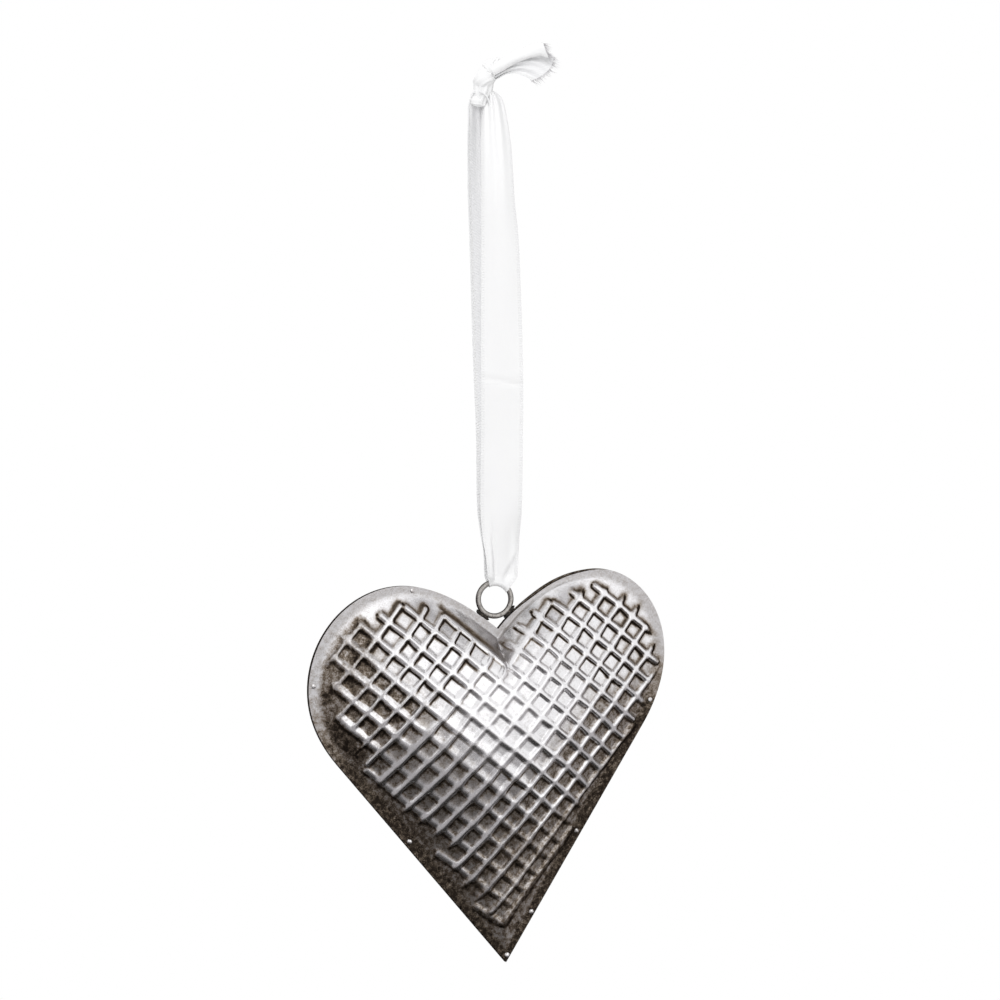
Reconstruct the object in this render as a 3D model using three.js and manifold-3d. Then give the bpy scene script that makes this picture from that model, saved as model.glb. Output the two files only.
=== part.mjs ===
// A pressed-iron waffle heart that hangs on a satin ribbon loop.
// Millimetres, +Z up. The front of the heart faces -Y, and the origin is the inside top of the
// ribbon loop, just under the knot, where a hook carries the ornament.
import * as THREE from "three";
import { mergeVertices } from "three/addons/utils/BufferGeometryUtils.js";
import Module from "manifold-3d";

// Driving dimensions
const SHEET = 0.8; // iron sheet of each heart half
const SEAM = 0.1; // gap between the two flat rims
const RIM_WIDTH = 2.2; // flat rim, measured towards the crown
const DOME_HEIGHT = 14; // crown of one half above its rim
const DOME_FILLET = 1.25; // exponent that eases the dome into the rim
const DOME_ROUND = 0.3; // share of the reach inside which the dome is round, not heart-shaped
const CROWN_RADIUS = 40; // reach of the round middle of the dome
const WIRE_RADIUS = 0.65; // hanging ring wire
const RING_RADIUS = 4.05; // hanging ring, centre line of its wire
const RIBBON_WIDTH = 10;
const RIBBON_THICKNESS = 0.4; // two threads of satin with their loft
const SOLDER_GAP = 0.15;

// The heart's outline, measured from its notch: cubic curves and straight sides, left lobe first
const NOTCH = new THREE.Vector2(1.54, -124.6);
const HEART_CURVES = [
  [[-6.9, 5.4], [-15.2, 10.6], [-23.6, 10.6]],
  [[-36.4, 10.5], [-46.8, -1], [-46.7, -14.3]],
  [[-46.6, -21.3], [-43.6, -27.2], [-38.7, -32.7]],
  [[2, -80]],
  [[36.4, -23.2]],
  [[39, -18.8], [41.6, -12.7], [41.6, -6]],
  [[41.6, 5.4], [34, 14.1], [24, 14.2]],
  [[15.2, 14.1], [7.6, 9.1], [0, 0]],
];
const CROWN = new THREE.Vector2(-1.8, -20.5).add(NOTCH);
const FINE_STEP = 1; // outline spacing for measuring
const RIM_STEP = 4.2; // outline spacing of the solids
const INNER_LEVELS = [0.8, 0.6, 0.4, 0.2]; // rings of the smooth inner face, as shares of the rim

// The waffle: two crossing sets of ridges, slightly bowed, that stop short of the rim, in pitches
const WAFFLE_ORIGIN = new THREE.Vector2(-5.3, -18.9).add(NOTCH);
const PITCH_DOWN = 4.57;
const ANGLE_DOWN = THREE.MathUtils.degToRad(-39.1);
const PITCH_UP = 4.94;
const ANGLE_UP = THREE.MathUtils.degToRad(50);
const PHASE_DOWN = -0.777;
const PHASE_UP = 0.263;
const BOW = { downCross: -0.0005, downSquare: 0.0024, upCross: -0.0015, upSquare: 0.0039 };
const RIDGE_HEIGHT = 1; // in millimetres
const RIDGE_TOP = 0.1; // half width of a ridge's top
const RIDGE_FOOT = 0.21;
const END_PLAY = 0.25; // a ridge that ends this close to a crossing reaches it
const CROSSING_ROOM = 1.6; // least distance of a crossing from the rim, in millimetres

// The rising ridges from the left and the falling ones from below, counted from a first number: the two
// ends of each, and how far the few uneven ones stand off their even places
const RISING = {
  first: -7,
  uneven: { "-5": 0.12, "-2": -0.17, 9: -0.2 },
  ends: [
    [-3.6, -0.8],
    [-4.2, 1.1],
    [-5.2, 1.85],
    [-5.2, 2.1],
    [-5.9, 2],
    [-5.95, 2],
    [-6.2, 2],
    [-6.3, 6.05],
    [-6.5, 7.5],
    [-6.4, 8.35],
    [-6.5, 8.65],
    [-6.6, 8.65],
    [-7.25, 8.2],
    [-7.7, 7.7],
    [-7.9, 6.9],
    [-8, 4],
    [-8.2, -2],
  ],
};
const FALLING = {
  first: -8,
  uneven: { 1: 0.1 },
  ends: [
    [7, 9],
    [3.6, 8.9],
    [-2, 9],
    [-5.1, 9],
    [-6.2, 9.05],
    [-7.1, 9],
    [-7.3, 8.8],
    [-7.1, 8.6],
    [-6.65, 8.2],
    [-5.95, 8.1],
    [-4.1, 8.1],
    [-0.55, 8.1],
    [-0.6, 7.95],
    [-0.4, 7.8],
    [0, 7.25],
    [0.5, 6.95],
    [1.2, 5.6],
  ],
};

// The ring and what holds it
const RING_CENTRE = new THREE.Vector2(-0.65, 7.1).add(NOTCH);
const SOLDER_ANGLES = { left: 232, right: 320 }; // degrees round the ring
const SOLDER_REACH = 0.3; // beyond the ring's outside
const SOLDER_SIZE = new THREE.Vector3(0.9, 0.8, 2.1); // radial, through and along
const RING_STEPS = 36;
const ROUND_SIDES = 8; // of the wire and of the knot's turns
const WELD_RADIUS = 0.6;
const WELD_HEIGHT = 0.35;
const WELD_SHOULDER = 0.75; // of the radius and of the height
const WELD_LIFT = 0.01; // off the rim
const WELD_INSET = 1.2; // from the outline
const WELD_ANGLES = [123, 170, 236, 274, 282, 307, 4]; // degrees round the crown

// The ribbon loop: height, sideways middle, half gap between the strands and strand width
const STRAND_STATIONS = [
  [-0.3, 0.2, 1.5, 5],
  [-5.5, 0.1, 3.3, 6.4],
  [-15, 0.1, 5, 7.3],
  [-22, 0.2, 5.4, 7.7],
  [-32, 0.8, 5.1, 8.7],
  [-46, 1.3, 4.4, 9.4],
  [-63, 1.8, 3.4, 10],
  [-77, 2.1, 2.4, 10],
  [-94, 2.1, 1.6, 9.9],
  [-101, 2, 1.45, 9.2],
  [-107, 2.05, 1.4, 7.9],
  [-110.8, 2.15, 1.35, 6.9],
];
const STRAND_TURN = THREE.MathUtils.degToRad(-16); // the satin face turns a little to the left
const STRAND_TURN_FROM = -108;
const STRAND_TURN_TO = -92;
const SECTION_POINTS = 5; // across the ribbon
const GATHER_DEPTH = 0.35; // how far a narrowed strand bulges, per millimetre of lost width
const FOLD_FROM = 36; // degrees round the ring, the ribbon's right edge
const FOLD_TO = 112;
const FOLD_STEPS = 7; // across the ribbon
const FOLD_BENDS = 6; // round the underside of the wire
const FOLD_RADIUS = WIRE_RADIUS + 0.35; // inside of the bight
const FOLD_TOP = { height: -111.6, middle: 2.15, width: 6.8 }; // where the bight meets the strands

// The knot and its two tails, in the plane of the satin face: sideways, height
const KNOT_FLOOR = 0.1;
const KNOT_CORE = { x: -1.1, z: 5, size: new THREE.Vector3(2.5, 2.2, 5.5), lean: 16 };
const KNOT_TURNS = [
  { x: -1.9, z: 2.5, radius: 2.2, tube: 1.05, stretch: 1.9, lean: 12 },
  { x: -1.3, z: 5.9, radius: 1.8, tube: 0.95, stretch: 1.8, lean: -34 },
  { x: 0.1, z: 8.6, radius: 1.2, tube: 0.8, stretch: 2, lean: 48 },
];
const KNOT_STEPS = 18;
const KNOT_ROOM = 30; // larger than the knot every way
const UPPER_TAIL = {
  route: [[2.7, 9.7, 3], [5.6, 11.6, 2.7], [8.8, 13, 2.7], [11.8, 14, 2.8], [14.8, 13.4, 3.6]],
  roll: 1.5, // how far the middle bulges towards the front
  lift: 0.8, // towards the front
};
const LOWER_TAIL = {
  route: [[2.7, 7.6, 2.2], [5.4, 9, 3.8], [8.2, 9.6, 5.6], [10.8, 9.4, 7], [12.8, 8.8, 8]],
  roll: 0.5,
  lift: -1.5,
};
const MERGE_DISTANCE = 1e-4;

const COLOURS = {
  iron: { color: 0x8f8b86, roughness: 0.42, metalness: 1 },
  wire: { color: 0x77726c, roughness: 0.35, metalness: 1 },
  solder: { color: 0x2b2825, roughness: 0.6, metalness: 0.7 },
  satin: { color: 0xf4f4f2, roughness: 0.45, metalness: 0 },
};

const wasm = await Module();
wasm.setup();

// A closed geometry as a solid that can be joined and cut.
function toSolid(geometry) {
  const bare = geometry.clone();
  bare.deleteAttribute("normal");
  bare.deleteAttribute("uv");
  const merged = mergeVertices(bare, MERGE_DISTANCE);
  return new wasm.Manifold(
    new wasm.Mesh({
      numProp: 3,
      vertProperties: new Float32Array(merged.attributes.position.array),
      triVerts: new Uint32Array(merged.index.array),
    }),
  );
}

function fromSolid(solid) {
  const mesh = solid.getMesh();
  return indexedGeometry(Array.from(mesh.vertProperties), Array.from(mesh.triVerts));
}

function indexedGeometry(positions, triangles) {
  const geometry = new THREE.BufferGeometry();
  geometry.setAttribute("position", new THREE.Float32BufferAttribute(positions, 3));
  geometry.setIndex(triangles);
  geometry.computeVertexNormals();
  return geometry;
}

// The heart's outline as plan points (x, z), counter-clockwise seen from the front.
function heartOutline(step) {
  const path = new THREE.Path();
  path.moveTo(NOTCH.x, NOTCH.y);
  for (const curve of HEART_CURVES) {
    const placed = curve.map(([x, z]) => [x + NOTCH.x, z + NOTCH.y]);
    if (placed.length === 1) path.lineTo(...placed[0]);
    else path.bezierCurveTo(...placed.flat());
  }
  return path.curves.flatMap((curve) => {
    const parts = Math.ceil(curve.getLength() / step);
    return curve.getSpacedPoints(parts).slice(0, parts);
  });
}

const FINE_OUTLINE = heartOutline(FINE_STEP);
const RIM_OUTLINE = heartOutline(RIM_STEP);

// Distance from the crown to the outline in one direction.
function outlineReach(angle) {
  const way = new THREE.Vector2(Math.cos(angle), Math.sin(angle));
  for (let i = 0; i < FINE_OUTLINE.length; i++) {
    const a = FINE_OUTLINE[i].clone().sub(CROWN);
    const b = FINE_OUTLINE[(i + 1) % FINE_OUTLINE.length].clone().sub(CROWN);
    const sideA = way.cross(a);
    const sideB = way.cross(b);
    if (sideA > 0 || sideB <= 0) continue;
    const share = sideA / (sideA - sideB);
    const hit = a.lerp(b, share).dot(way);
    if (hit > 0) return hit;
  }
  throw new Error("the outline does not close round the crown");
}

// A point of the outline moved to the inside of the rim, and then to a share of its reach.
function rimPoint(point, level = 1) {
  const away = point.clone().sub(CROWN);
  const reach = away.length() - RIM_WIDTH;
  return CROWN.clone().add(away.setLength(reach * level));
}

const RIM_BEND = FINE_OUTLINE.map((point) => rimPoint(point));

// Height of the smooth dome above the rim: heart-shaped at the edge, round at the crown.
function domeHeight(point) {
  const away = point.clone().sub(CROWN);
  const reach = away.length();
  const byOutline = reach / (outlineReach(away.angle()) - RIM_WIDTH);
  const byCircle = reach / CROWN_RADIUS;
  const share = THREE.MathUtils.smoothstep(byOutline, DOME_ROUND, 1);
  const level = Math.min(1, THREE.MathUtils.lerp(byCircle, byOutline, share));
  return DOME_HEIGHT * (1 - level ** 2) ** DOME_FILLET;
}

// How far a place between two ridges of one set is shifted.
function ridgeShift({ uneven }, number) {
  const low = Math.floor(number);
  return THREE.MathUtils.lerp(uneven[low] ?? 0, uneven[low + 1] ?? 0, number - low);
}

// A plan point of the waffle, counted in pitches along the falling and the rising ridges.
function wafflePoint(column, row) {
  const u = column + PHASE_DOWN;
  const v = row + PHASE_UP;
  const bowDown = BOW.downCross * u * v + BOW.downSquare * v * v;
  const bowUp = BOW.upCross * u * v + BOW.upSquare * u * u;
  const down = PITCH_DOWN * (u + ridgeShift(RISING, column) + bowDown);
  const up = PITCH_UP * (v + ridgeShift(FALLING, row) + bowUp);
  return new THREE.Vector2(
    WAFFLE_ORIGIN.x + down * Math.cos(ANGLE_DOWN) + up * Math.cos(ANGLE_UP),
    WAFFLE_ORIGIN.y + down * Math.sin(ANGLE_DOWN) + up * Math.sin(ANGLE_UP),
  );
}

// The crossings of each ridge of one set, as pairs of the ridge's number and a number along it.
function ridgeSteps({ first, ends }) {
  return ends.flatMap(([from, to], k) => {
    const start = Math.ceil(from - END_PLAY);
    const count = Math.floor(to + END_PLAY) - start;
    return Array.from({ length: count }, (_, step) => [first + k, start + step]);
  });
}

// Whether a crossing stands inside the rim and clear of it.
function hasRoom(column, row) {
  const crossing = wafflePoint(column, row);
  const away = crossing.clone().sub(CROWN);
  const inside = away.length() < outlineReach(away.angle()) - RIM_WIDTH;
  return inside && RIM_BEND.every((point) => point.distanceTo(crossing) > CROSSING_ROOM);
}

// The stretches of ridge between crossings, as a set of "column,row,direction" names.
function waffleRidges() {
  const ridges = new Set();
  for (const [row, column] of ridgeSteps(FALLING)) {
    if (hasRoom(column, row) && hasRoom(column + 1, row)) ridges.add([column, row, "down"].join());
  }
  for (const [column, row] of ridgeSteps(RISING)) {
    if (hasRoom(column, row) && hasRoom(column, row + 1)) ridges.add([column, row, "up"].join());
  }
  return ridges;
}

const RIDGES = waffleRidges();

// One heart half: a flat rim, a dome with raised ridges outside, and a smooth face inside.
// Depth is measured outwards from the plane between the halves; side is -1 in front, 1 behind.
function heartHalf(side) {
  const plan = [];
  const depths = [];
  const triangles = [];
  const corners = new Map();
  const openEdges = new Map();

  const vertex = (point, depth) => {
    depths.push(depth);
    return plan.push(point) - 1;
  };
  const outside = (point, raised) => SEAM / 2 + SHEET + domeHeight(point) + raised;
  const triangle = (a, b, c) => triangles.push(a, b, c);

  // One of the eight corners of a crossing: top or foot, on one side in each direction.
  const corner = (column, row, along, across, level) => {
    const name = [column, row, along, across, level].join();
    if (!corners.has(name)) {
      const half = level === "top" ? RIDGE_TOP : RIDGE_FOOT;
      const point = wafflePoint(column + along * half, row + across * half);
      corners.set(name, vertex(point, outside(point, level === "top" ? RIDGE_HEIGHT : 0)));
    }
    return corners.get(name);
  };
  const ridgeFace = (a, b, c, d) => {
    triangle(a, b, c);
    triangle(a, c, d);
    [[a, b], [b, c], [c, d], [d, a]].forEach(([from, to]) => {
      if (!openEdges.delete(to + "," + from)) openEdges.set(from + "," + to, [from, to]);
    });
  };

  // Crossings, with an end wall where no ridge goes on.
  const nodes = new Set();
  for (const ridge of RIDGES) {
    const [column, row, way] = ridge.split(",");
    nodes.add([+column, +row].join());
    nodes.add((way === "down" ? [+column + 1, +row] : [+column, +row + 1]).join());
  }
  const turns = [[1, 0], [0, 1], [-1, 0], [0, -1]];
  for (const node of nodes) {
    const [m, n] = node.split(",").map(Number);
    const at = (along, across, level) => corner(m, n, along, across, level);
    ridgeFace(at(-1, -1, "top"), at(1, -1, "top"), at(1, 1, "top"), at(-1, 1, "top"));
    const goesOn = [
      RIDGES.has([m, n, "down"].join()),
      RIDGES.has([m, n, "up"].join()),
      RIDGES.has([m - 1, n, "down"].join()),
      RIDGES.has([m, n - 1, "up"].join()),
    ];
    turns.forEach(([x, y], k) => {
      if (goesOn[k]) return;
      const first = [x + y, y - x];
      const last = [x - y, y + x];
      ridgeFace(at(...first, "top"), at(...first, "foot"), at(...last, "foot"), at(...last, "top"));
    });
  }

  // Ridges between crossings: a flat top and two sloping sides.
  for (const ridge of RIDGES) {
    const [column, row, way] = ridge.split(",");
    const [m, n] = [+column, +row];
    const down = way === "down";
    const near = (sideways, level) =>
      down ? corner(m, n, 1, sideways, level) : corner(m, n, -sideways, 1, level);
    const far = (sideways, level) =>
      down ? corner(m + 1, n, -1, sideways, level) : corner(m, n + 1, -sideways, -1, level);
    ridgeFace(near(-1, "top"), far(-1, "top"), far(1, "top"), near(1, "top"));
    ridgeFace(near(-1, "top"), near(-1, "foot"), far(-1, "foot"), far(-1, "top"));
    ridgeFace(near(1, "foot"), near(1, "top"), far(1, "top"), far(1, "foot"));
  }

  // The open edges at the ridges' feet close into pocket floors and one outer border.
  const follow = new Map([...openEdges.values()].map(([from, to]) => [to, from]));
  const borders = [];
  while (follow.size) {
    const loop = [];
    let here = follow.keys().next().value;
    while (follow.has(here)) {
      loop.push(here);
      const next = follow.get(here);
      follow.delete(here);
      here = next;
    }
    borders.push(loop);
  }
  const fill = (contour, holes) => {
    const all = [contour, ...holes].flat();
    const faces = THREE.ShapeUtils.triangulateShape(
      contour.map((k) => plan[k]),
      holes.map((hole) => hole.map((k) => plan[k])),
    );
    for (const face of faces) {
      const [a, b, c] = face.map((k) => all[k]);
      if (THREE.ShapeUtils.area([plan[a], plan[b], plan[c]]) > 0) triangle(a, b, c);
      else triangle(a, c, b);
    }
  };
  const isFloor = (loop) => THREE.ShapeUtils.area(loop.map((k) => plan[k])) > 0;
  borders.filter(isFloor).forEach((loop) => fill(loop, []));

  // Rings of the rim and of the smooth inner face.
  const ringOf = (points, depth) => points.map((point) => vertex(point, depth(point)));
  const strip = (outer, inner) => {
    outer.forEach((a, k) => {
      const next = (k + 1) % outer.length;
      triangle(a, outer[next], inner[next]);
      triangle(a, inner[next], inner[k]);
    });
  };
  const rimInside = RIM_OUTLINE.map((point) => rimPoint(point));
  const frontEdge = ringOf(RIM_OUTLINE, () => SEAM / 2 + SHEET);
  const frontBend = ringOf(rimInside, () => SEAM / 2 + SHEET);
  const seamEdge = ringOf(RIM_OUTLINE, () => SEAM / 2);
  const seamBend = ringOf(rimInside, () => SEAM / 2);
  strip(frontEdge, frontBend);
  fill(frontBend, borders.filter((loop) => !isFloor(loop)));
  strip(seamEdge, frontEdge);
  let ring = seamBend;
  strip(seamBend, seamEdge);
  for (const level of INNER_LEVELS) {
    const points = RIM_OUTLINE.map((point) => rimPoint(point, level));
    const inner = ringOf(points, (point) => SEAM / 2 + domeHeight(point));
    strip(inner, ring);
    ring = inner;
  }
  const middle = vertex(CROWN, SEAM / 2 + DOME_HEIGHT);
  ring.forEach((a, k) => triangle(ring[(k + 1) % ring.length], a, middle));

  if (side > 0) {
    for (let k = 0; k < triangles.length; k += 3) {
      [triangles[k], triangles[k + 1]] = [triangles[k + 1], triangles[k]];
    }
  }
  return indexedGeometry(plan.flatMap((point, k) => [point.x, side * depths[k], point.y]), triangles);
}

// The wire ring stands in the plane between the halves.
function ringGeometry(wireRadius) {
  return new THREE.TorusGeometry(RING_RADIUS, wireRadius, ROUND_SIDES, RING_STEPS)
    .rotateX(Math.PI / 2)
    .translate(RING_CENTRE.x, 0, RING_CENTRE.y);
}

// A solder fillet: a lens in the crevice between the ring and one side of the notch.
function solderFillet(degrees) {
  const angle = THREE.MathUtils.degToRad(degrees);
  const reach = RING_RADIUS + WIRE_RADIUS + SOLDER_REACH;
  const lens = new THREE.SphereGeometry(1, 2 * ROUND_SIDES, ROUND_SIDES)
    .scale(SOLDER_SIZE.x, SOLDER_SIZE.y, SOLDER_SIZE.z)
    .rotateY(-angle)
    .translate(RING_CENTRE.x + reach * Math.cos(angle), 0, RING_CENTRE.y + reach * Math.sin(angle));
  const grown = RIM_OUTLINE.map((point) => {
    const away = point.clone().sub(CROWN);
    return CROWN.clone().add(away.setLength(away.length() + 2 * SOLDER_GAP));
  });
  const depth = 4 * SOLDER_SIZE.y;
  const heart = new THREE.ExtrudeGeometry(new THREE.Shape(grown), { depth, bevelEnabled: false })
    .rotateX(Math.PI / 2)
    .translate(0, depth / 2, 0);
  const cut = toSolid(lens)
    .subtract(toSolid(ringGeometry(WIRE_RADIUS + SOLDER_GAP)))
    .subtract(toSolid(heart));
  const pieces = cut.decompose().sort((a, b) => b.volume() - a.volume());
  return fromSolid(pieces[0]);
}

// A spot weld: a low button on the front of the rim.
function weldButton(degrees) {
  const angle = THREE.MathUtils.degToRad(degrees);
  const reach = outlineReach(angle) - WELD_INSET;
  const profile = [
    new THREE.Vector2(0, 0),
    new THREE.Vector2(WELD_RADIUS, 0),
    new THREE.Vector2(WELD_SHOULDER * WELD_RADIUS, WELD_SHOULDER * WELD_HEIGHT),
    new THREE.Vector2(0, WELD_HEIGHT),
  ];
  const rimFace = -SEAM / 2 - SHEET - WELD_LIFT;
  return new THREE.LatheGeometry(profile, ROUND_SIDES)
    .rotateX(Math.PI)
    .translate(CROWN.x + reach * Math.cos(angle), rimFace, CROWN.y + reach * Math.sin(angle));
}

// A closed strip through stations that each hold an outer and an inner row of points.
function stripGeometry(stations) {
  const count = stations[0].outer.length;
  const positions = [];
  stations.forEach(({ outer, inner }) => {
    [...outer, ...inner].forEach((point) => positions.push(point.x, point.y, point.z));
  });
  const at = (station, row, k) => station * 2 * count + row * count + k;
  const triangles = [];
  const quad = (a, b, c, d) => triangles.push(a, b, c, a, c, d);
  for (let s = 0; s + 1 < stations.length; s++) {
    for (let k = 0; k + 1 < count; k++) {
      quad(at(s, 0, k), at(s, 0, k + 1), at(s + 1, 0, k + 1), at(s + 1, 0, k));
      quad(at(s, 1, k + 1), at(s, 1, k), at(s + 1, 1, k), at(s + 1, 1, k + 1));
    }
    quad(at(s, 1, 0), at(s, 0, 0), at(s + 1, 0, 0), at(s + 1, 1, 0));
    quad(at(s, 0, count - 1), at(s, 1, count - 1), at(s + 1, 1, count - 1), at(s + 1, 0, count - 1));
  }
  const last = stations.length - 1;
  for (let k = 0; k + 1 < count; k++) {
    quad(at(0, 0, k + 1), at(0, 0, k), at(0, 1, k), at(0, 1, k + 1));
    quad(at(last, 0, k), at(last, 0, k + 1), at(last, 1, k + 1), at(last, 1, k));
  }
  const geometry = indexedGeometry(positions, triangles);
  if (signedVolume(geometry) < 0) {
    for (let k = 0; k < triangles.length; k += 3) {
      [triangles[k], triangles[k + 1]] = [triangles[k + 1], triangles[k]];
    }
    return indexedGeometry(positions, triangles);
  }
  return geometry;
}

function signedVolume(geometry) {
  const place = geometry.getAttribute("position");
  const index = geometry.getIndex().array;
  const [a, b, c] = [new THREE.Vector3(), new THREE.Vector3(), new THREE.Vector3()];
  let volume = 0;
  for (let k = 0; k < index.length; k += 3) {
    a.fromBufferAttribute(place, index[k]);
    b.fromBufferAttribute(place, index[k + 1]);
    c.fromBufferAttribute(place, index[k + 2]);
    volume += a.dot(b.cross(c)) / 6;
  }
  return volume;
}

// A ribbon's section: its middle bulges along facing, and its edges draw back.
function ribbonStation(middle, across, facing, width, bulge) {
  const outer = [];
  const inner = [];
  for (let k = 0; k < SECTION_POINTS; k++) {
    const side = (2 * k) / (SECTION_POINTS - 1) - 1;
    const point = middle
      .clone()
      .addScaledVector(across, (side * width) / 2)
      .addScaledVector(facing, -bulge * side * side);
    outer.push(point.clone().addScaledVector(facing, RIBBON_THICKNESS / 2));
    inner.push(point.addScaledVector(facing, -RIBBON_THICKNESS / 2));
  }
  return { outer, inner };
}

// One strand of the loop: side is -1 in front of the loop and 1 behind it.
function strandGeometry(side) {
  const stations = STRAND_STATIONS.map(([height, middle, halfGap, width]) => {
    const share = THREE.MathUtils.smoothstep(height, STRAND_TURN_FROM, STRAND_TURN_TO);
    const turn = STRAND_TURN * share;
    const across = new THREE.Vector3(Math.cos(turn), Math.sin(turn), 0);
    const facing = new THREE.Vector3(Math.sin(turn), -Math.cos(turn), 0).multiplyScalar(-side);
    const bulge = GATHER_DEPTH * Math.max(0, RIBBON_WIDTH - width) * share;
    return ribbonStation(new THREE.Vector3(middle, side * halfGap, height), across, facing, width, bulge);
  });
  return stripGeometry(stations);
}

// The bight: the ribbon passes through the ring and under its upper wire, and both legs go up
// to one level, where the strands begin.
function foldGeometry() {
  const profile = (share, radius) => {
    const angle = THREE.MathUtils.degToRad(THREE.MathUtils.lerp(FOLD_FROM, FOLD_TO, share));
    const out = new THREE.Vector3(Math.cos(angle), 0, Math.sin(angle));
    const wire = new THREE.Vector3(RING_CENTRE.x, 0, RING_CENTRE.y).addScaledVector(out, RING_RADIUS);
    const up = out.clone().add(new THREE.Vector3(0, 0, 1)).normalize();
    const sideways = FOLD_TOP.middle + (0.5 - share) * FOLD_TOP.width;
    const points = [new THREE.Vector3(sideways, -radius, FOLD_TOP.height)];
    for (let k = 0; k <= FOLD_BENDS; k++) {
      const bend = (k * Math.PI) / FOLD_BENDS;
      const point = wire.clone().addScaledVector(up, -radius * Math.sin(bend));
      points.push(point.add(new THREE.Vector3(0, -radius * Math.cos(bend), 0)));
    }
    points.push(new THREE.Vector3(sideways, radius, FOLD_TOP.height));
    return points;
  };
  const stations = [];
  for (let k = 0; k < FOLD_STEPS; k++) {
    const share = k / (FOLD_STEPS - 1);
    stations.push({
      outer: profile(share, FOLD_RADIUS + RIBBON_THICKNESS),
      inner: profile(share, FOLD_RADIUS),
    });
  }
  return stripGeometry(stations);
}

// A point in the plane of the satin face: sideways, height, and towards the front.
const SATIN_ACROSS = new THREE.Vector3(Math.cos(STRAND_TURN), Math.sin(STRAND_TURN), 0);
const SATIN_FACING = new THREE.Vector3(Math.sin(STRAND_TURN), -Math.cos(STRAND_TURN), 0);
function satinPoint(sideways, height, forward) {
  return new THREE.Vector3(0, 0, height)
    .addScaledVector(SATIN_ACROSS, sideways)
    .addScaledVector(SATIN_FACING, forward);
}

// The overhand knot: a leaning core wound with three turns of ribbon, flat where the loop enters.
function knotGeometry() {
  const core = new THREE.SphereGeometry(1, KNOT_STEPS, ROUND_SIDES)
    .scale(KNOT_CORE.size.x, KNOT_CORE.size.y, KNOT_CORE.size.z)
    .rotateY(THREE.MathUtils.degToRad(KNOT_CORE.lean))
    .translate(KNOT_CORE.x, 0, KNOT_CORE.z);
  const below = new THREE.BoxGeometry(KNOT_ROOM, KNOT_ROOM, KNOT_ROOM);
  below.translate(0, 0, KNOT_FLOOR - KNOT_ROOM / 2);
  let knot = toSolid(core);
  for (const { x, z, radius, tube, stretch, lean } of KNOT_TURNS) {
    const turn = new THREE.TorusGeometry(radius, tube, ROUND_SIDES, KNOT_STEPS)
      .scale(1, 1, stretch)
      .rotateY(THREE.MathUtils.degToRad(lean))
      .translate(x, 0, z);
    knot = knot.add(toSolid(turn));
  }
  return fromSolid(knot.subtract(toSolid(below))).rotateZ(STRAND_TURN);
}

// A tail of the ribbon: stations of sideways, height and width in the plane of the satin face.
function tailGeometry({ route, roll, lift }) {
  const places = route.map(([sideways, height]) => satinPoint(sideways, height, lift));
  const curve = new THREE.CatmullRomCurve3(places);
  const stations = route.map(([, , width], k) => {
    const along = curve.getTangent(k / (route.length - 1));
    const across = SATIN_FACING.clone().cross(along).normalize();
    return ribbonStation(places[k], across, SATIN_FACING, width, roll);
  });
  return stripGeometry(stations);
}

const ornament = new THREE.Group();
function piece(name, geometry, look) {
  const mesh = new THREE.Mesh(geometry, new THREE.MeshStandardMaterial(COLOURS[look]));
  mesh.name = name;
  ornament.add(mesh);
}

piece("front_shell", heartHalf(-1), "iron");
piece("back_shell", heartHalf(1), "iron");
piece("hanging_ring", ringGeometry(WIRE_RADIUS), "wire");
for (const [side, degrees] of Object.entries(SOLDER_ANGLES)) {
  piece("ring_solder_" + side, solderFillet(degrees), "solder");
}
WELD_ANGLES.forEach((degrees, k) => piece("rim_weld_" + (k + 1), weldButton(degrees), "iron"));
piece("ribbon_front_strand", strandGeometry(-1), "satin");
piece("ribbon_back_strand", strandGeometry(1), "satin");
piece("ribbon_ring_fold", foldGeometry(), "satin");
piece("ribbon_knot", knotGeometry(), "satin");
piece("ribbon_tail_upper", tailGeometry(UPPER_TAIL), "satin");
piece("ribbon_tail_lower", tailGeometry(LOWER_TAIL), "satin");

export default ornament;
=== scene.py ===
"""Dresses a pressed-iron waffle heart that hangs on a knotted loop of white satin ribbon.

Metres, +Z up. The front of the heart faces -Y, and the origin is the inside top of the ribbon loop.
"""

import math

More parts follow.
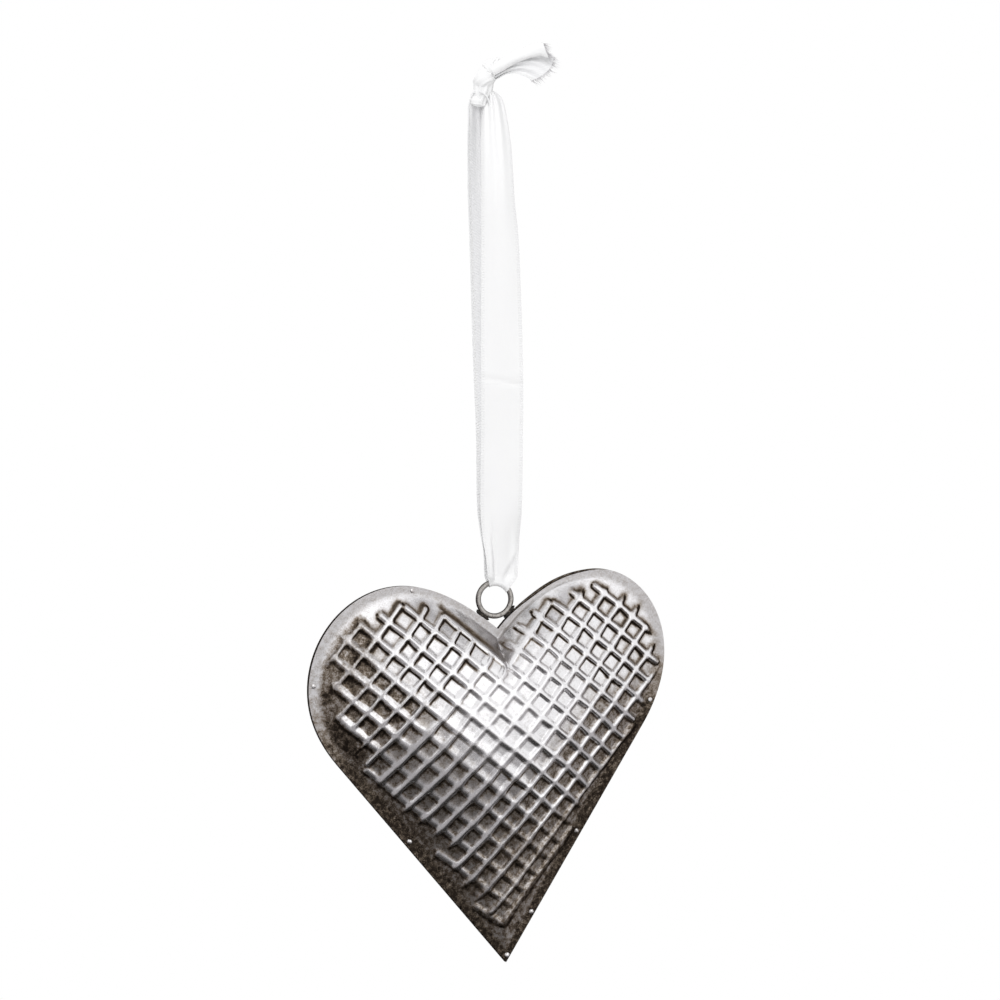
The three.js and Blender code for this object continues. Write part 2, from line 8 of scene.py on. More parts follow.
import bpy
import numpy as np
from bpy.props import FloatProperty, FloatVectorProperty, IntProperty, PointerProperty
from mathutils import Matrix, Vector


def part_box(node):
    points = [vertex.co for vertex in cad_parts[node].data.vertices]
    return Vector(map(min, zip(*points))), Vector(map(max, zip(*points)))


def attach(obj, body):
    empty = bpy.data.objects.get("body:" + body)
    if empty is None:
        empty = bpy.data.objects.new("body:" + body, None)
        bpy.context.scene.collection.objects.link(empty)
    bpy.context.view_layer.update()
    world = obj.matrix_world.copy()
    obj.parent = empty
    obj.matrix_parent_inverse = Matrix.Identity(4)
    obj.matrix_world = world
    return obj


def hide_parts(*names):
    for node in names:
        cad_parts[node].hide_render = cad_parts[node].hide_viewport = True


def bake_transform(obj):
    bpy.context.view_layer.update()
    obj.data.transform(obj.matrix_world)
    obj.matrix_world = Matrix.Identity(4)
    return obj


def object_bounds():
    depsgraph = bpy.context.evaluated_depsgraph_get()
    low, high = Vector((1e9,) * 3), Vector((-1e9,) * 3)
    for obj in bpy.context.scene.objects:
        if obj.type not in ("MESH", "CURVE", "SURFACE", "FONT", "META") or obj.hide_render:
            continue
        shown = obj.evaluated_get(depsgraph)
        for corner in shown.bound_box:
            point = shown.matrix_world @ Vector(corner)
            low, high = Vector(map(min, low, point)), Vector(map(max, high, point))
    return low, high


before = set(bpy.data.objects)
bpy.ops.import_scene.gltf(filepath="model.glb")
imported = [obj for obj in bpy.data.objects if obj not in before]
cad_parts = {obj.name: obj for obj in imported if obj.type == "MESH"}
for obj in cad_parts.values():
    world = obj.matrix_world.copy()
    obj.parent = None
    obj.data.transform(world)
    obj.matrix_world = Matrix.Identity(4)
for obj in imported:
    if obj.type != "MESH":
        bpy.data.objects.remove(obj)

CAD_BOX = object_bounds()

bl_info = {
    "name": "Waffle Heart Ornament",
    "version": (1, 0, 0),
    "blender": (4, 5, 0),
    "location": "3D View > Sidebar > Ornament",
    "description": "Builds a pressed-iron waffle heart on a satin ribbon",
    "category": "Object",
}

MM = 0.001
TURN = 2 * math.pi
SCATTER_RATE = 12.9898
SCATTER_SIZE = 43758.5453

# The heart's outline in millimetres from its notch: cubic curves and straight sides, left lobe first
NOTCH = np.array((1.54, -124.6))
HEART_TIP = (2, -80)
HEART_CURVES = (
    ((-6.9, 5.4), (-15.2, 10.6), (-23.6, 10.6)),
    ((-36.4, 10.5), (-46.8, -1), (-46.7, -14.3)),
    ((-46.6, -21.3), (-43.6, -27.2), (-38.7, -32.7)),
    (HEART_TIP,),
    ((36.4, -23.2),),
    ((39, -18.8), (41.6, -12.7), (41.6, -6)),
    ((41.6, 5.4), (34, 14.1), (24, 14.2)),
    ((15.2, 14.1), (7.6, 9.1), (0, 0)),
)
OUTLINE_STEPS = 60

# The dome: its crown, the level up to which it is round, and the radius of its circles there
CROWN = NOTCH + (-1.8, -20.5)
DOME_ROUND = 0.3
CROWN_RADIUS = 40

# How far both rims are drawn in at the upper left of the right lobe, and from where to where
RIM_STEP_BACK = np.array((0.15, -0.3))
RIM_STEP_FRONT = np.array((0.41, -0.64))
RIM_STEP_SPAN = (3, 11, 20, 32)

# The inside of each half: the levels of its rings, and its point values
INNER_LEVELS = (0.85, 0.7, 0.55, 0.4, 0.25, 0.12)
INNER_VALUES = {"rubbed_and_painted_light": 0, "foot": 0.65, "patina": 1, "rim": 1}

# The waffle: two crossing sets of ridges, slightly bowed, counted in pitches from its own origin
WAFFLE_ORIGIN = NOTCH + (-5.3, -18.9)
PITCH_DOWN = 4.57
ANGLE_DOWN = math.radians(-39.1)
PITCH_UP = 4.94
ANGLE_UP = math.radians(50)
PHASE_DOWN = -0.777
PHASE_UP = 0.263
BOW_DOWN = (-0.0005, 0.0024)
BOW_UP = (-0.0015, 0.0039)
WAFFLE_REACH = 14

# The waffle's grid: lines beside each ridge in pitches, and two closeness limits in millimetres
FLANK_LINES = (0, 0.05, 0.085, 0.12, 0.155, 0.19, 0.225, 0.27, 0.36)
OUTLINE_SNAP = 0.12
MERGE_STEP = 0.04

# The rising ridges from the left and the falling ones from below, counted from a first number: the two ends
# of each in pitches, and how far the few uneven ones stand off their even places
RISING_FIRST = -7
RISING_UNEVEN = {-5: 0.12, -2: -0.17, 9: -0.2}
RISING_ENDS = np.array((
    (-3.6, -0.8),
    (-4.2, 1.1),
    (-5.2, 1.85),
    (-5.2, 2.1),
    (-5.9, 2),
    (-5.95, 2),
    (-6.2, 2),
    (-6.3, 6.05),
    (-6.5, 7.5),
    (-6.4, 8.35),
    (-6.5, 8.65),
    (-6.6, 8.65),
    (-7.25, 8.2),
    (-7.7, 7.7),
    (-7.9, 6.9),
    (-8, 4),
    (-8.2, -2),
))
FALLING_FIRST = -8
FALLING_UNEVEN = {1: 0.1}
FALLING_ENDS = np.array((
    (7, 9),
    (3.6, 8.9),
    (-2, 9),
    (-5.1, 9),
    (-6.2, 9.05),
    (-7.1, 9),
    (-7.3, 8.8),
    (-7.1, 8.6),
    (-6.65, 8.2),
    (-5.95, 8.1),
    (-4.1, 8.1),
    (-0.55, 8.1),
    (-0.6, 7.95),
    (-0.4, 7.8),
    (0, 7.25),
    (0.5, 6.95),
    (1.2, 5.6),
))
END_SLACK = 0.05

# Waves along a ridge: size in pitches, radians for each pitch, and radians from ridge to ridge
WANDER_LONG = (0.014, 1.7, 2.3)
WANDER_SHORT = (0.009, 4.1, 1.3)
BREADTH_SWELL = (0.1, 2.7, 5)
FALLING_SEED = 0.4
RISING_SEED = 2.9
FLANK_EASE = 0.45

# Zones of the waffle that look alike: a strength, then the columns over which a zone fades in and those
# over which it fades out, and the same for its rows, counted upwards
ZONES = {
    "left": (1, None, (-2.8, -1.2), None, None),
    "middle": (1, (-3, -1), (3.5, 5.5), (-6.5, -4.5), None),
    "soft": (1, (-3, -1), (3.5, 5.5), (-6.5, -4.5), (-1.5, 0.5)),
    "gentle": (1, None, (-2.8, -1.2), None, (-1.2, 0.8)),
    "low_bars": (0.6, (-3.5, -0.5), None, None, (-3, -0.8)),
    "faint_ribs": (0.35, (7.3, 9), None, None, None),
    # Painted shade: zones where the ridges are painted darker
    "painted_shade_right": (0.45, (4, 8), None, (-6, -3), (-3, 0)),
    "painted_shade_border": (0.6, (6.8, 8.2), None, (-4.5, -2), (3.5, 6)),
    "painted_shade_tip": (0.54, (4.5, 6.5), None, None, (-4.5, -2.5)),
    "painted_shade_tip_border": (0.3, (8, 9.3), None, None, (-4.5, -2.5)),
    "painted_shade_middle": (0.15, (-3, -1), (3.5, 5.5), (-6.5, -4.5), (-1.5, 0.5)),
    "painted_shade_left": (0.3, None, (-6.5, -4), None, None),
    "clean_lobe": (0.85, None, (-2.8, -1.2), (-2.2, -1), None),
    "pale_left": (0.45, None, (-7.4, -5.8), (-6, -3), (-2, -0.5)),
    "shaded": (0.6, None, None, None, (-0.5, 1)),
    "outlined_lobe": (1, None, (-2.8, -1.2), (-4, -2), None),
    "band": (0.8, (-4.7, -4.2), (-0.3, 0.1), (2.1, 2.2), (2.28, 2.55)),
}

# Worn ridges: wider feet on gentle sides, steeper ribs at the left, lower ones in the soft zone, wear on
# the crown over a distance in millimetres, and how brightly the sides are rubbed, with painted shade that
# dulls them at the left and a painted highlight on the gentle sides
GENTLE_FOOT = 0.6
LEFT_STEEPER = 0.2
SOFT_LOWER = 0.2
CROWN_WEAR = 0.5
CROWN_WORN = (4, 18)
LEFT_PAINTED_SHADE = 0.45
PAINTED_GENTLE_HIGHLIGHT = 0.55
PAINTED_GENTLE_HIGHLIGHT_FROM = (0.1, 0.3)

# Patina: the depth in rows at which it begins, with drops over some columns, then its fade, its column on
# the right that leans over some rows, its tone at the left and in the middle, and the painted shade that
# darkens it towards the top corner of a cell. The last value tells what lies beyond the ridges' ends, by the
# distance from them in pitches
PATINA_DEPTH = -0.4
PATINA_DROPS = ((1.4, -7, -5), (1, -2, 0.5))
PATINA_FADE = 1.7
PATINA_RIGHT = (3.6, 5.6)
PATINA_LEAN = (2, 3, 6)
PATINA_LEFT = 0.22
PATINA_MIDDLE = 0.14
PAINTED_CORNER_SHADE = 0.25
PAINTED_CORNER_SHADE_MIDDLE = 0.35
PAINTED_CORNER_SHADE_FROM = (0.7, 1.7)
PAINTED_CORNER_SHADE_EVEN = 0.4
BEYOND_ENDS = (0.5, 0.7)

# Grime and painted shade: lines at the feet of the ridges in shares of a foot, painted shade under the sides
# that face down and grime over the others, painted shade in the top corner of a cell, a halo round the
# ridges near the border, and a clean place on the crown in millimetres
GRIME_AND_SHADE_LINE = (0.55, 0.7, 0.95, 1.15)
PAINTED_SHADE_UNDER = 1.2
GRIME_OVER = 0.65
GRIME_OVER_LEVEL = (0.5, 0.85)
GRIME_AND_SHADE_DEPTH = 1.7
SHADE_CORNER = (1.25, 1.7)
HALO = 0.85
HALO_NEAR = (0.8, 1.8)
HALO_LEVEL = (0.7, 0.85)
HALO_NOTCH = (7, 13)
HALO_LOBE = 0.35
HALO_LOBE_ENDS = 0.3
HALO_WAVE = (0.25, 4.1, 2.3)
CLEAN_OFFSET = np.array((8, 2))
CLEAN_MARGIN = 2
CLEAN_SPAN = (8, 22)
RIM_SPAN = (-3.6, -1.8)

# The ring and what holds it: places in degrees round the ring, sizes in millimetres, and grid counts
RING_CENTRE = NOTCH + (-0.65, 7.1)
RING_STEPS = 120
WIRE_SIDES = 24
SOLDER_ANGLES = {"left": 232, "right": 320}
SOLDER_REACH = 0.1
SOLDER_SIZE = np.array((0.62, 0.75, 1.9))
SOLDER_GRID = (24, 28)
LUMP_SWELL = (0.1, 0.07)

# The welds fill the boxes of their solids, deeper by a factor and sunk by a share of their half depth
WELD_COUNT = 7
WELD_DEEPER = 1.6
WELD_SINK = 0.2
WELD_GRID = (14, 24)

# The ribbon loop in millimetres: height, sideways middle, half gap between the strands, strand width
STRAND_STATIONS = (
    (3.6, -0.6, 0.7, 1.3),
    (2.4, 0, 0.9, 3.8),
    (-0.7, 0.2, 1.6, 5.4),
    (-7.9, 0.1, 3.8, 6.8),
    (-15, 0.1, 5, 7.3),
    (-22, 0.2, 5.4, 7.7),
    (-32, 0.8, 5.1, 8.7),
    (-46, 1.3, 4.4, 9.4),
    (-63, 1.8, 3.4, 10),
    (-77, 2.1, 2.4, 10),
    (-94, 2.1, 1.6, 9.9),
    (-101, 2.2, 1.45, 9.1),
    (-107, 2.5, 1.4, 8.1),
    (-112.4, 2.5, 1.35, 7.4),
)
STATION_STEPS = 400
STRAND_TOP = STRAND_STATIONS[0][0]
STRAND_SPLIT = -66
LEG_TOP = -112.2
BACK_SHIFT = -2.6
BACK_SHIFT_FADE = 10
SATIN_TURN = math.radians(-16)
SATIN_ACROSS = np.array((math.cos(SATIN_TURN), math.sin(SATIN_TURN), 0))
SATIN_FACING = np.array((math.sin(SATIN_TURN), -math.cos(SATIN_TURN), 0))
UPWARD = np.array((0, 0, 1))

# The forms of a strand, by height in millimetres or by place across, from -1 at one edge to 1 at the
# other: its turn and bulge, the pleats under the knot, the valley over the ring, and a ripple
STRAND_TURN_SPAN = (-108, -92)
BULGE_SPAN = (-112, -100)
PLEAT_DEPTH = 0.34
PLEAT_FADE = 9
PLEAT_RATE = 3.4 * math.pi
PLEAT_SHIFT = 0.12
GATHER_SPAN = (-109, -96)
VALLEY_DEPTH = 0.75
VALLEY_SPAN = (-0.6, -0.42, 0.42, 0.78)
RIPPLE_DEPTH = 0.1
RIPPLE_LENGTHS = (5.3, 8.9)
RIPPLE_LEAN = 0.4

# The front strand alone: an upright fold and a slanting ledge over the ring, and a crease half way up
FOLD_DEPTH = 0.75
FOLD_SPAN = (-113.5, -111)
FOLD_PLACE = -0.52
FOLD_BREADTH = 0.1
LEDGE_PLACE = 0.6
LEDGE_SLANT = 0.14
LEDGE_HEIGHT = -108
LEDGE_SPAN = (-0.05, 0.3)
LEDGE_END = (0.75, 0.98)
CREASE_DEPTH = 0.16
CREASE_HEIGHT = -65.4
CREASE_SLANT = -0.9
CREASE_BREADTH = 0.7

# The bight's ends in degrees round the ring, the woven edges, counts of rows and columns, and the digits
# of a flat width
BIGHT_FROM = 36
BIGHT_TO = 112
SELVEDGE_SPAN = (0.9, 0.96)
SELVEDGE_SWELL = 0.5
RIBBON_COLUMNS = 41
UPPER_ROWS = 110
LOWER_ROWS = 70
BEND_ROWS = 15
LEG_ROWS = 12

# The knot in the plane of the satin face, in millimetres. A turn is sideways, height, radius, half
# thickness, stretch and lean in degrees, and a station of the core is sideways, height and radius
KNOT_TURNS = (
    (-3.3, 1.4, 1.1, 0.65, 1.7, 6),
    (-1.6, 6.2, 1.9, 0.7, 2.2, -34),
    (-0.3, 9, 1.3, 0.75, 1.6, 48),
)
KNOT_TURN_STEPS = 90
KNOT_TURN_SIDES = 48
KNOT_TURN_SWAY = 0.25
COARSE_PLEATS = (0.07, 7, 1.5)
FINE_PLEATS = (0.04, 13)
KNOT_CORE = (
    (-2.6, -0.2, 1.2),
    (-2.4, 2, 1.8),
    (-1.9, 3.6, 2.1),
    (-1.6, 6.4, 2.3),
    (-0.6, 8.8, 2),
    (0.6, 10.7, 1.5),
    (1.3, 11.6, 0.8),
)
CORE_SIDES = 72
CORE_FLUTES = (0.09, 9, 5)
CORE_PINCH = 0.01
FLATTENED = 0.85

# The tails in the same plane: stations of the rolled one as in the core, and the two edges of the fanned
# one, then the forms of each in millimetres, degrees or shares
UPPER_TAIL = (
    (0.2, 8.3, 1.3),
    (2.7, 9.7, 1.35),
    (5.6, 11.4, 1.35),
    (8.8, 12.7, 1.4),
    (11.8, 13.4, 1.5),
    (14.2, 12.9, 1.7),
)
LOWER_TAIL_UNDER = ((0.3, 5.9), (1.6, 6.6), (3.4, 7.5), (5.3, 7.8), (6.9, 7.5), (8.6, 6.8), (9.6, 6))
LOWER_TAIL_OVER = ((0.3, 8.4), (2.5, 9.8), (5.5, 11.6), (8.5, 12.6), (11.5, 13), (13.6, 12.7), (15, 11.8))
TAIL_ROWS = 40
ROLL_COLUMNS = 49
ROLL_START = -60
ROLL_SWEEP = 380
ROLL_WAVE = (0.05, 3, 6)
ROLL_TIGHTER = 0.4
ROLL_TIGHT_SPAN = (0.65, 1)
ROLL_CUT = 1.2
ROLL_FORWARD = 0.9
FAN_COLUMNS = 65
FAN_CUT = np.array((1.2, -0.5))
FAN_PLEAT = 0.5
FAN_PLEATS = 7
FAN_PLEAT_FADE = 0.75
FAN_ARCH = 0.9
FAN_ARCH_FADE = 0.4
FAN_SWAY = (0.25, 4)
FAN_LEAN = 1.6

# The loose threads: lengths and thickness in millimetres, how far they stray, and the seed for each tail
THREAD_SHORT = 0.5
THREAD_LONGER = 1.7
THREAD_STRAY = 0.7
THREAD_RADIUS = 0.06
THREAD_SIDES = 3
THREAD_SEEDS = {"upper": 5, "lower": 11}

# Where the camera stands: degrees round the ornament and above it, and the point that it looks at
VIEW_AZIMUTH = -16
VIEW_ELEVATION = 2.5
VIEW_TARGET = Vector((2.07, -0.59, -93.8)) * MM
VIEW_DISTANCE = 1.5
VIEW_WIDTH = 0.2387
SENSOR_WIDTH = 36

# The lamps: degrees round the ornament and above it, distance, size, power, and whether metal mirrors it
LAMPS = {
    "key_softbox": (-32, 44, 1.3, 0.8, 7, False),
    "front_softbox": (5, 22, 1.6, 1.6, 2.4, True),
    "back_softbox": (190, 40, 1.4, 0.8, 5, False),
}
WORLD_GREY = (0.66, 0.66, 0.665)
WHITE = (1, 1, 1, 1)

# The floor and the bowl: drop and radii in metres, angles in degrees, shares of a radius, and grid counts
FLOOR_DROP = 0.26
FLOOR_RADIUS = 0.7
FLOOR_FADE = (0.45, 0.98)
FLOOR_RINGS = 12
FLOOR_SIDES = 64
BOWL_RADIUS = 0.3
BOWL_LOW = -20
BOWL_RISE = 45
BOWL_SKEW = 28
LID_REACH = 28
LID_SIDE = (-0.15, 0.5)
FELT_SPAN = (0.35, 0.92)
BOWL_RINGS = 24
BOWL_SIDES = 96
HUB = 0.02


class HeartSizes(bpy.types.PropertyGroup):
    """Sizes of the iron heart, its ring and its welds."""

    sheet: FloatProperty(name="Sheet", description="Iron sheet of each half", default=0.8 * MM, unit="LENGTH")
    seam: FloatProperty(name="Seam", description="Gap between the rims", default=0.1 * MM, unit="LENGTH")
    rim: FloatProperty(name="Rim", description="Width of the flat rim", default=2.2 * MM, unit="LENGTH")
    dome: FloatProperty(name="Dome", description="Crown above the rim", default=14 * MM, unit="LENGTH")
    fillet: FloatProperty(name="Fillet", description="Exponent that eases dome into rim", default=1.25)
    ridge: FloatProperty(name="Ridge", description="Height of a ridge", default=1 * MM, unit="LENGTH")
    ridge_top: FloatProperty(name="Ridge top", description="Half width of the top in pitches", default=0.03)
    ridge_foot: FloatProperty(name="Ridge foot", description="Half width of the foot, pitches", default=0.24)
    stub: FloatProperty(name="Stub", description="Rounded end of a ridge, in pitches", default=0.2)
    ring: FloatProperty(name="Ring", description="Radius of the ring", default=4.05 * MM, unit="LENGTH")
    wire: FloatProperty(name="Wire", description="Radius of its wire", default=0.65 * MM, unit="LENGTH")


class RibbonSizes(bpy.types.PropertyGroup):
    """Sizes of the satin ribbon."""

    width: FloatProperty(name="Width", description="Woven width", default=10 * MM, unit="LENGTH")
    thickness: FloatProperty(name="Thickness", description="Cloth", default=0.22 * MM, unit="LENGTH")
    curl: FloatProperty(name="Curl", description="Bulge of a narrowed strand, as a share", default=0.27)
    hug: FloatProperty(name="Hug", description="Ring wire to cloth", default=0.06 * MM, unit="LENGTH")
    threads: IntProperty(name="Threads", description="Loose threads at each cut end", default=140)


class Finishes(bpy.types.PropertyGroup):
    """Colours of the iron and the satin."""

    bright: FloatVectorProperty(
        name="Bright iron", description="Rubbed ridges", default=(0.87, 0.86, 0.875), subtype="COLOR"
    )
    dull: FloatVectorProperty(
        name="Dull iron", description="Flat rim", default=(0.55, 0.54, 0.55), subtype="COLOR"
    )
    # Brown and then patina colour the dirt and also the painted shade of the iron; patina also colours the
    # painted shade on the wire's sides
    brown: FloatVectorProperty(
        name="Brown", description="Stained floors", default=(0.235, 0.187, 0.142), subtype="COLOR"
    )
    patina: FloatVectorProperty(
        name="Patina", description="Dirt in the recesses", default=(0.028, 0.021, 0.016), subtype="COLOR"
    )
    wire: FloatVectorProperty(
        name="Wire", description="Drawn wire", default=(0.42, 0.4, 0.38), subtype="COLOR"
    )
    solder: FloatVectorProperty(
        name="Solder", description="Dark solder", default=(0.022, 0.02, 0.018), subtype="COLOR"
    )
    satin: FloatVectorProperty(
        name="Satin", description="Glossy face", default=(0.9, 0.9, 0.9), subtype="COLOR"
    )
    # Painted grey: painted shade among the loose threads
    thread: FloatVectorProperty(
        name="Thread", description="Loose threads", default=(0.62, 0.61, 0.62), subtype="COLOR"
    )
    # Painted shade of the dull face and its twill furrows
    twill: FloatVectorProperty(
        name="Twill", description="Furrows of the dull face", default=(0.86, 0.86, 0.87), subtype="COLOR"
    )


# Curves and small formulas


def smoothstep(value, low, high):
    """Nought below low, one above high and three times the share squared less twice its cube between."""
    share = np.clip((value - low) / (high - low), 0, 1)
    return share * share * (3 - 2 * share)


def fade(value, span):
    """A smoothstep over a span in millimetres."""
    return smoothstep(value, span[0] * MM, span[1] * MM)


def window(value, begin, full, thin, end):
    """A smoothstep up from begin to full, times one down from thin to end."""
    return smoothstep(value, begin, full) * (1 - smoothstep(value, thin, end))


def scatter(number):
    """A fixed number from nought to one for each whole number: the fraction of a large multiple of a sine."""
    return np.mod(np.sin(np.asarray(number, float) * SCATTER_RATE) * SCATTER_SIZE, 1)


def smooth_rows(rows, count):
    """Rows of numbers joined by cubics that pass through each row with the slope of its neighbours."""
    rows = np.asarray(rows, float)
    place = np.linspace(0, len(rows) - 1, count)
    low = np.minimum(place.astype(int), len(rows) - 2)
    share = (place - low)[:, None]
    slope = np.gradient(rows, axis=0)
    return (
        rows[low] * (1 + 2 * share) * (1 - share) ** 2
        + slope[low] * share * (1 - share) ** 2
        + rows[low + 1] * (3 - 2 * share) * share**2
        - slope[low + 1] * share**2 * (1 - share)
    )


def unit_rows(vectors):
    """Vectors divided by their lengths."""
    return vectors / np.linalg.norm(vectors, axis=-1, keepdims=True)


def full_turn(count):
    """Evenly spaced angles of a full turn, without its end."""
    return np.linspace(0, TURN, count, endpoint=False)


def heart_outline(count):
    """Plan points (x, z) round the heart: each curve's handles in cubic shares that add up to one."""
    start = np.zeros(2)
    share = np.linspace(0, 1, count, endpoint=False)[:, None]
    curves = []
    for curve in HEART_CURVES:
        end = np.array(curve[-1], float)
        first, second = curve[:2] if len(curve) == 3 else (start + (end - start) / 3, end - (end - start) / 3)
        curves.append(
            start * (1 - share) ** 3
            + 3 * np.array(first) * share * (1 - share) ** 2
            + 3 * np.array(second) * share**2 * (1 - share)
            + end * share**3
        )
        start = end
    return (np.concatenate(curves) + NOTCH) * MM


OUTLINE = heart_outline(OUTLINE_STEPS)
OUTLINE_AWAY = OUTLINE - CROWN * MM
OUTLINE_ANGLES = np.arctan2(OUTLINE_AWAY[:, 1], OUTLINE_AWAY[:, 0])
OUTLINE_REACH = np.hypot(OUTLINE_AWAY[:, 0], OUTLINE_AWAY[:, 1])


def outline_reach(plan):
    """Distance of plan points from the crown, and of the outline in the same directions."""
    away = plan - CROWN * MM
    angle = np.arctan2(away[..., 1], away[..., 0])
    return np.hypot(away[..., 0], away[..., 1]), np.interp(angle, OUTLINE_ANGLES, OUTLINE_REACH, period=TURN)


def dome_height(plan, sizes):
    """Height of the smooth dome above the rim, a power of one less the squared level.

    The level counts from the crown to the rim, along a circle near the crown and along the outline near
    the rim.
    """
    reach, outline = outline_reach(plan)
    by_outline = reach / (outline - sizes.rim)
    by_circle = reach / (CROWN_RADIUS * MM)
    share = smoothstep(by_outline, DOME_ROUND, 1)
    level = np.minimum(1, by_circle + share * (by_outline - by_circle))
    return sizes.dome * (1 - level**2) ** sizes.fillet


# The waffle's ridges, wear and dirt


def ridge_shift(place, uneven):
    """How far a place between two ridges of one set is shifted, in even steps from ridge to ridge."""
    numbers = np.arange(-WAFFLE_REACH, WAFFLE_REACH + 1)
    return np.interp(place, numbers, [uneven.get(int(number), 0) for number in numbers])


def waffle_plan(columns, rows):
    """Plan points of the waffle: steps along falling and rising ridges, bowed by squares and products.

    A few ridges stand off their even places, and the floor between two ridges shares their shifts.
    """
    u = columns + PHASE_DOWN
    v = rows + PHASE_UP
    down = u + ridge_shift(columns, RISING_UNEVEN) + BOW_DOWN[0] * u * v + BOW_DOWN[1] * v * v
    up = v + ridge_shift(rows, FALLING_UNEVEN) + BOW_UP[0] * u * v + BOW_UP[1] * u * u
    down = PITCH_DOWN * down
    up = PITCH_UP * up
    x = WAFFLE_ORIGIN[0] + down * math.cos(ANGLE_DOWN) + up * math.cos(ANGLE_UP)
    z = WAFFLE_ORIGIN[1] + down * math.sin(ANGLE_DOWN) + up * math.sin(ANGLE_UP)
    return np.stack((x, z), axis=-1) * MM


def ridge_wave(shape, along, number, seed=0):
    """A sine along a ridge, shifted from ridge to ridge."""
    size, rate, shift = shape
    return size * np.sin(rate * along + shift * number + seed)


def ridge_set(along, across, first, ends, seed, sizes, blunt_start, blunt_ends):
    """Distance from the nearest ridge of one set, in pitches, signed by the side on which a point lies.

    A ridge's middle line wanders a little, and its breadth swells and shrinks along it like a sine. Beyond
    its last crossing the distance grows evenly, so that the ridge dwindles to nothing at its end. Blunt ends,
    at every start or at the ends of ridges below a number, dwindle only over a short stub.
    """
    number = np.clip(np.round(across).astype(int), first, first + len(ends) - 1)
    start, end = ends[number - first].T
    wander = ridge_wave(WANDER_LONG, along, number, seed) + ridge_wave(WANDER_SHORT, along, number)
    below = np.maximum(0 if blunt_start else np.ceil(start - END_SLACK) - start, sizes.stub)
    above = np.maximum(np.where(number < blunt_ends, 0, end - np.floor(end + END_SLACK)), sizes.stub)
    beyond = np.maximum((start + below - along) / below, (along - end + above) / above)
    beyond = sizes.ridge_foot * np.maximum(0, beyond)
    breadth = 1 + ridge_wave(BREADTH_SWELL, along, number, seed)
    offset = across - number + wander
    return np.copysign(np.hypot(offset, beyond) / breadth, offset)


def flank(away, top, foot):
    """Height of a ridge beside its middle line: an even slope from its top to its foot, eased at both."""
    slope = np.clip((foot - np.abs(away)) / (foot - top), 0, 1)
    return (1 - FLANK_EASE) * slope + FLANK_EASE * smoothstep(slope, 0, 1)


def zone_strength(name, columns, rows):
    """How strongly a zone works at each point: its strength times its smoothsteps in and out."""
    strength, *spans = ZONES[name]
    for place, span_in, span_out in ((columns, *spans[:2]), (rows, *spans[2:])):
        if span_in:
            strength = strength * smoothstep(place, *span_in)
        if span_out:
            strength = strength * (1 - smoothstep(place, *span_out))
    return strength


def worn_ridges(falling, rising, reach, zones, sizes):
    """Height of the ridges and how brightly they are rubbed, with painted highlight and shade, both as
    shares.

    Two crossing ridges together are one less the product of what each lacks. Falling ridges are low in the
    lower part. Their upper sides slope gently below the crown and at the left, where a painted highlight lies
    on them. All ridges are worn on the crown, and painted shade darkens them at the left and in several
    zones.
    """
    top = sizes.ridge_top
    foot = sizes.ridge_foot
    upper = falling > 0
    gentle = upper * zones["gentle"]
    low = 1 - zones["low_bars"]
    bars = flank(falling, top, foot * (1 + GENTLE_FOOT * np.maximum(gentle, upper * zones["soft"])))
    ribs = (1 - zones["faint_ribs"]) * flank(rising, top, foot * (1 - LEFT_STEEPER * zones["left"]))
    worn = 1 - CROWN_WEAR * (1 - fade(reach, CROWN_WORN))
    height = worn * (1 - (1 - low * bars) * (1 - (1 - SOFT_LOWER * zones["soft"]) * ribs))
    shine = worn * (1 - (1 - np.sqrt(low) * bars) * (1 - ribs))
    # Painted shade dulls the ridges at the left; a painted highlight lies on the gentle upper sides of the
    # falling ridges
    slope = smoothstep(flank(falling, top, foot * (1 + GENTLE_FOOT)), *PAINTED_GENTLE_HIGHLIGHT_FROM)
    rubbed_and_painted_light = np.maximum(shine * (1 - LEFT_PAINTED_SHADE * zones["left"]), PAINTED_GENTLE_HIGHLIGHT * gentle * slope)
    # Painted shade darkens the ridges in these zones
    rubbed_and_painted_light *= 1 - zones["painted_shade_tip"] - zones["painted_shade_tip_border"]
    for name in ("painted_shade_right", "painted_shade_border", "painted_shade_middle", "painted_shade_left"):
        rubbed_and_painted_light *= 1 - zones[name]
    return height, rubbed_and_painted_light


def floor_patina(columns, rows, beyond, zones):
    """Patina of the floors: below a depth that drops to the right, and right of a leaning column.

    At the upper left it keeps off the places beyond the ridges' ends.
    """
    depth = PATINA_DEPTH
    for drop, begin, end in PATINA_DROPS:
        depth = depth + drop * smoothstep(columns, begin, end)
    lean, begin, end = PATINA_LEAN
    right = columns - lean * smoothstep(rows, begin, end)
    clear = (1 - smoothstep(-rows, depth, depth + PATINA_FADE)) * (1 - smoothstep(right, *PATINA_RIGHT))
    return (1 - clear) * (1 - beyond * zones["clean_lobe"])


def foot_grime_and_shade(falling, rising, level, patina, foot):
    """Lines at the ridges' feet: painted shade under the sides that face down, and near the border grime over
    them too.
    """
    # Painted shade under the sides that face down, less where patina lies; grime over the other sides
    under = PAINTED_SHADE_UNDER - patina
    over = GRIME_OVER * (1 - patina) * smoothstep(level, *GRIME_OVER_LEVEL)
    lines = np.zeros(len(patina))
    for away, down in ((falling, -1), (rising, 1)):
        line = window(np.abs(away) / foot, *GRIME_AND_SHADE_LINE)
        lines = np.maximum(lines, line * np.where(away * down > 0, under, over))
    return lines


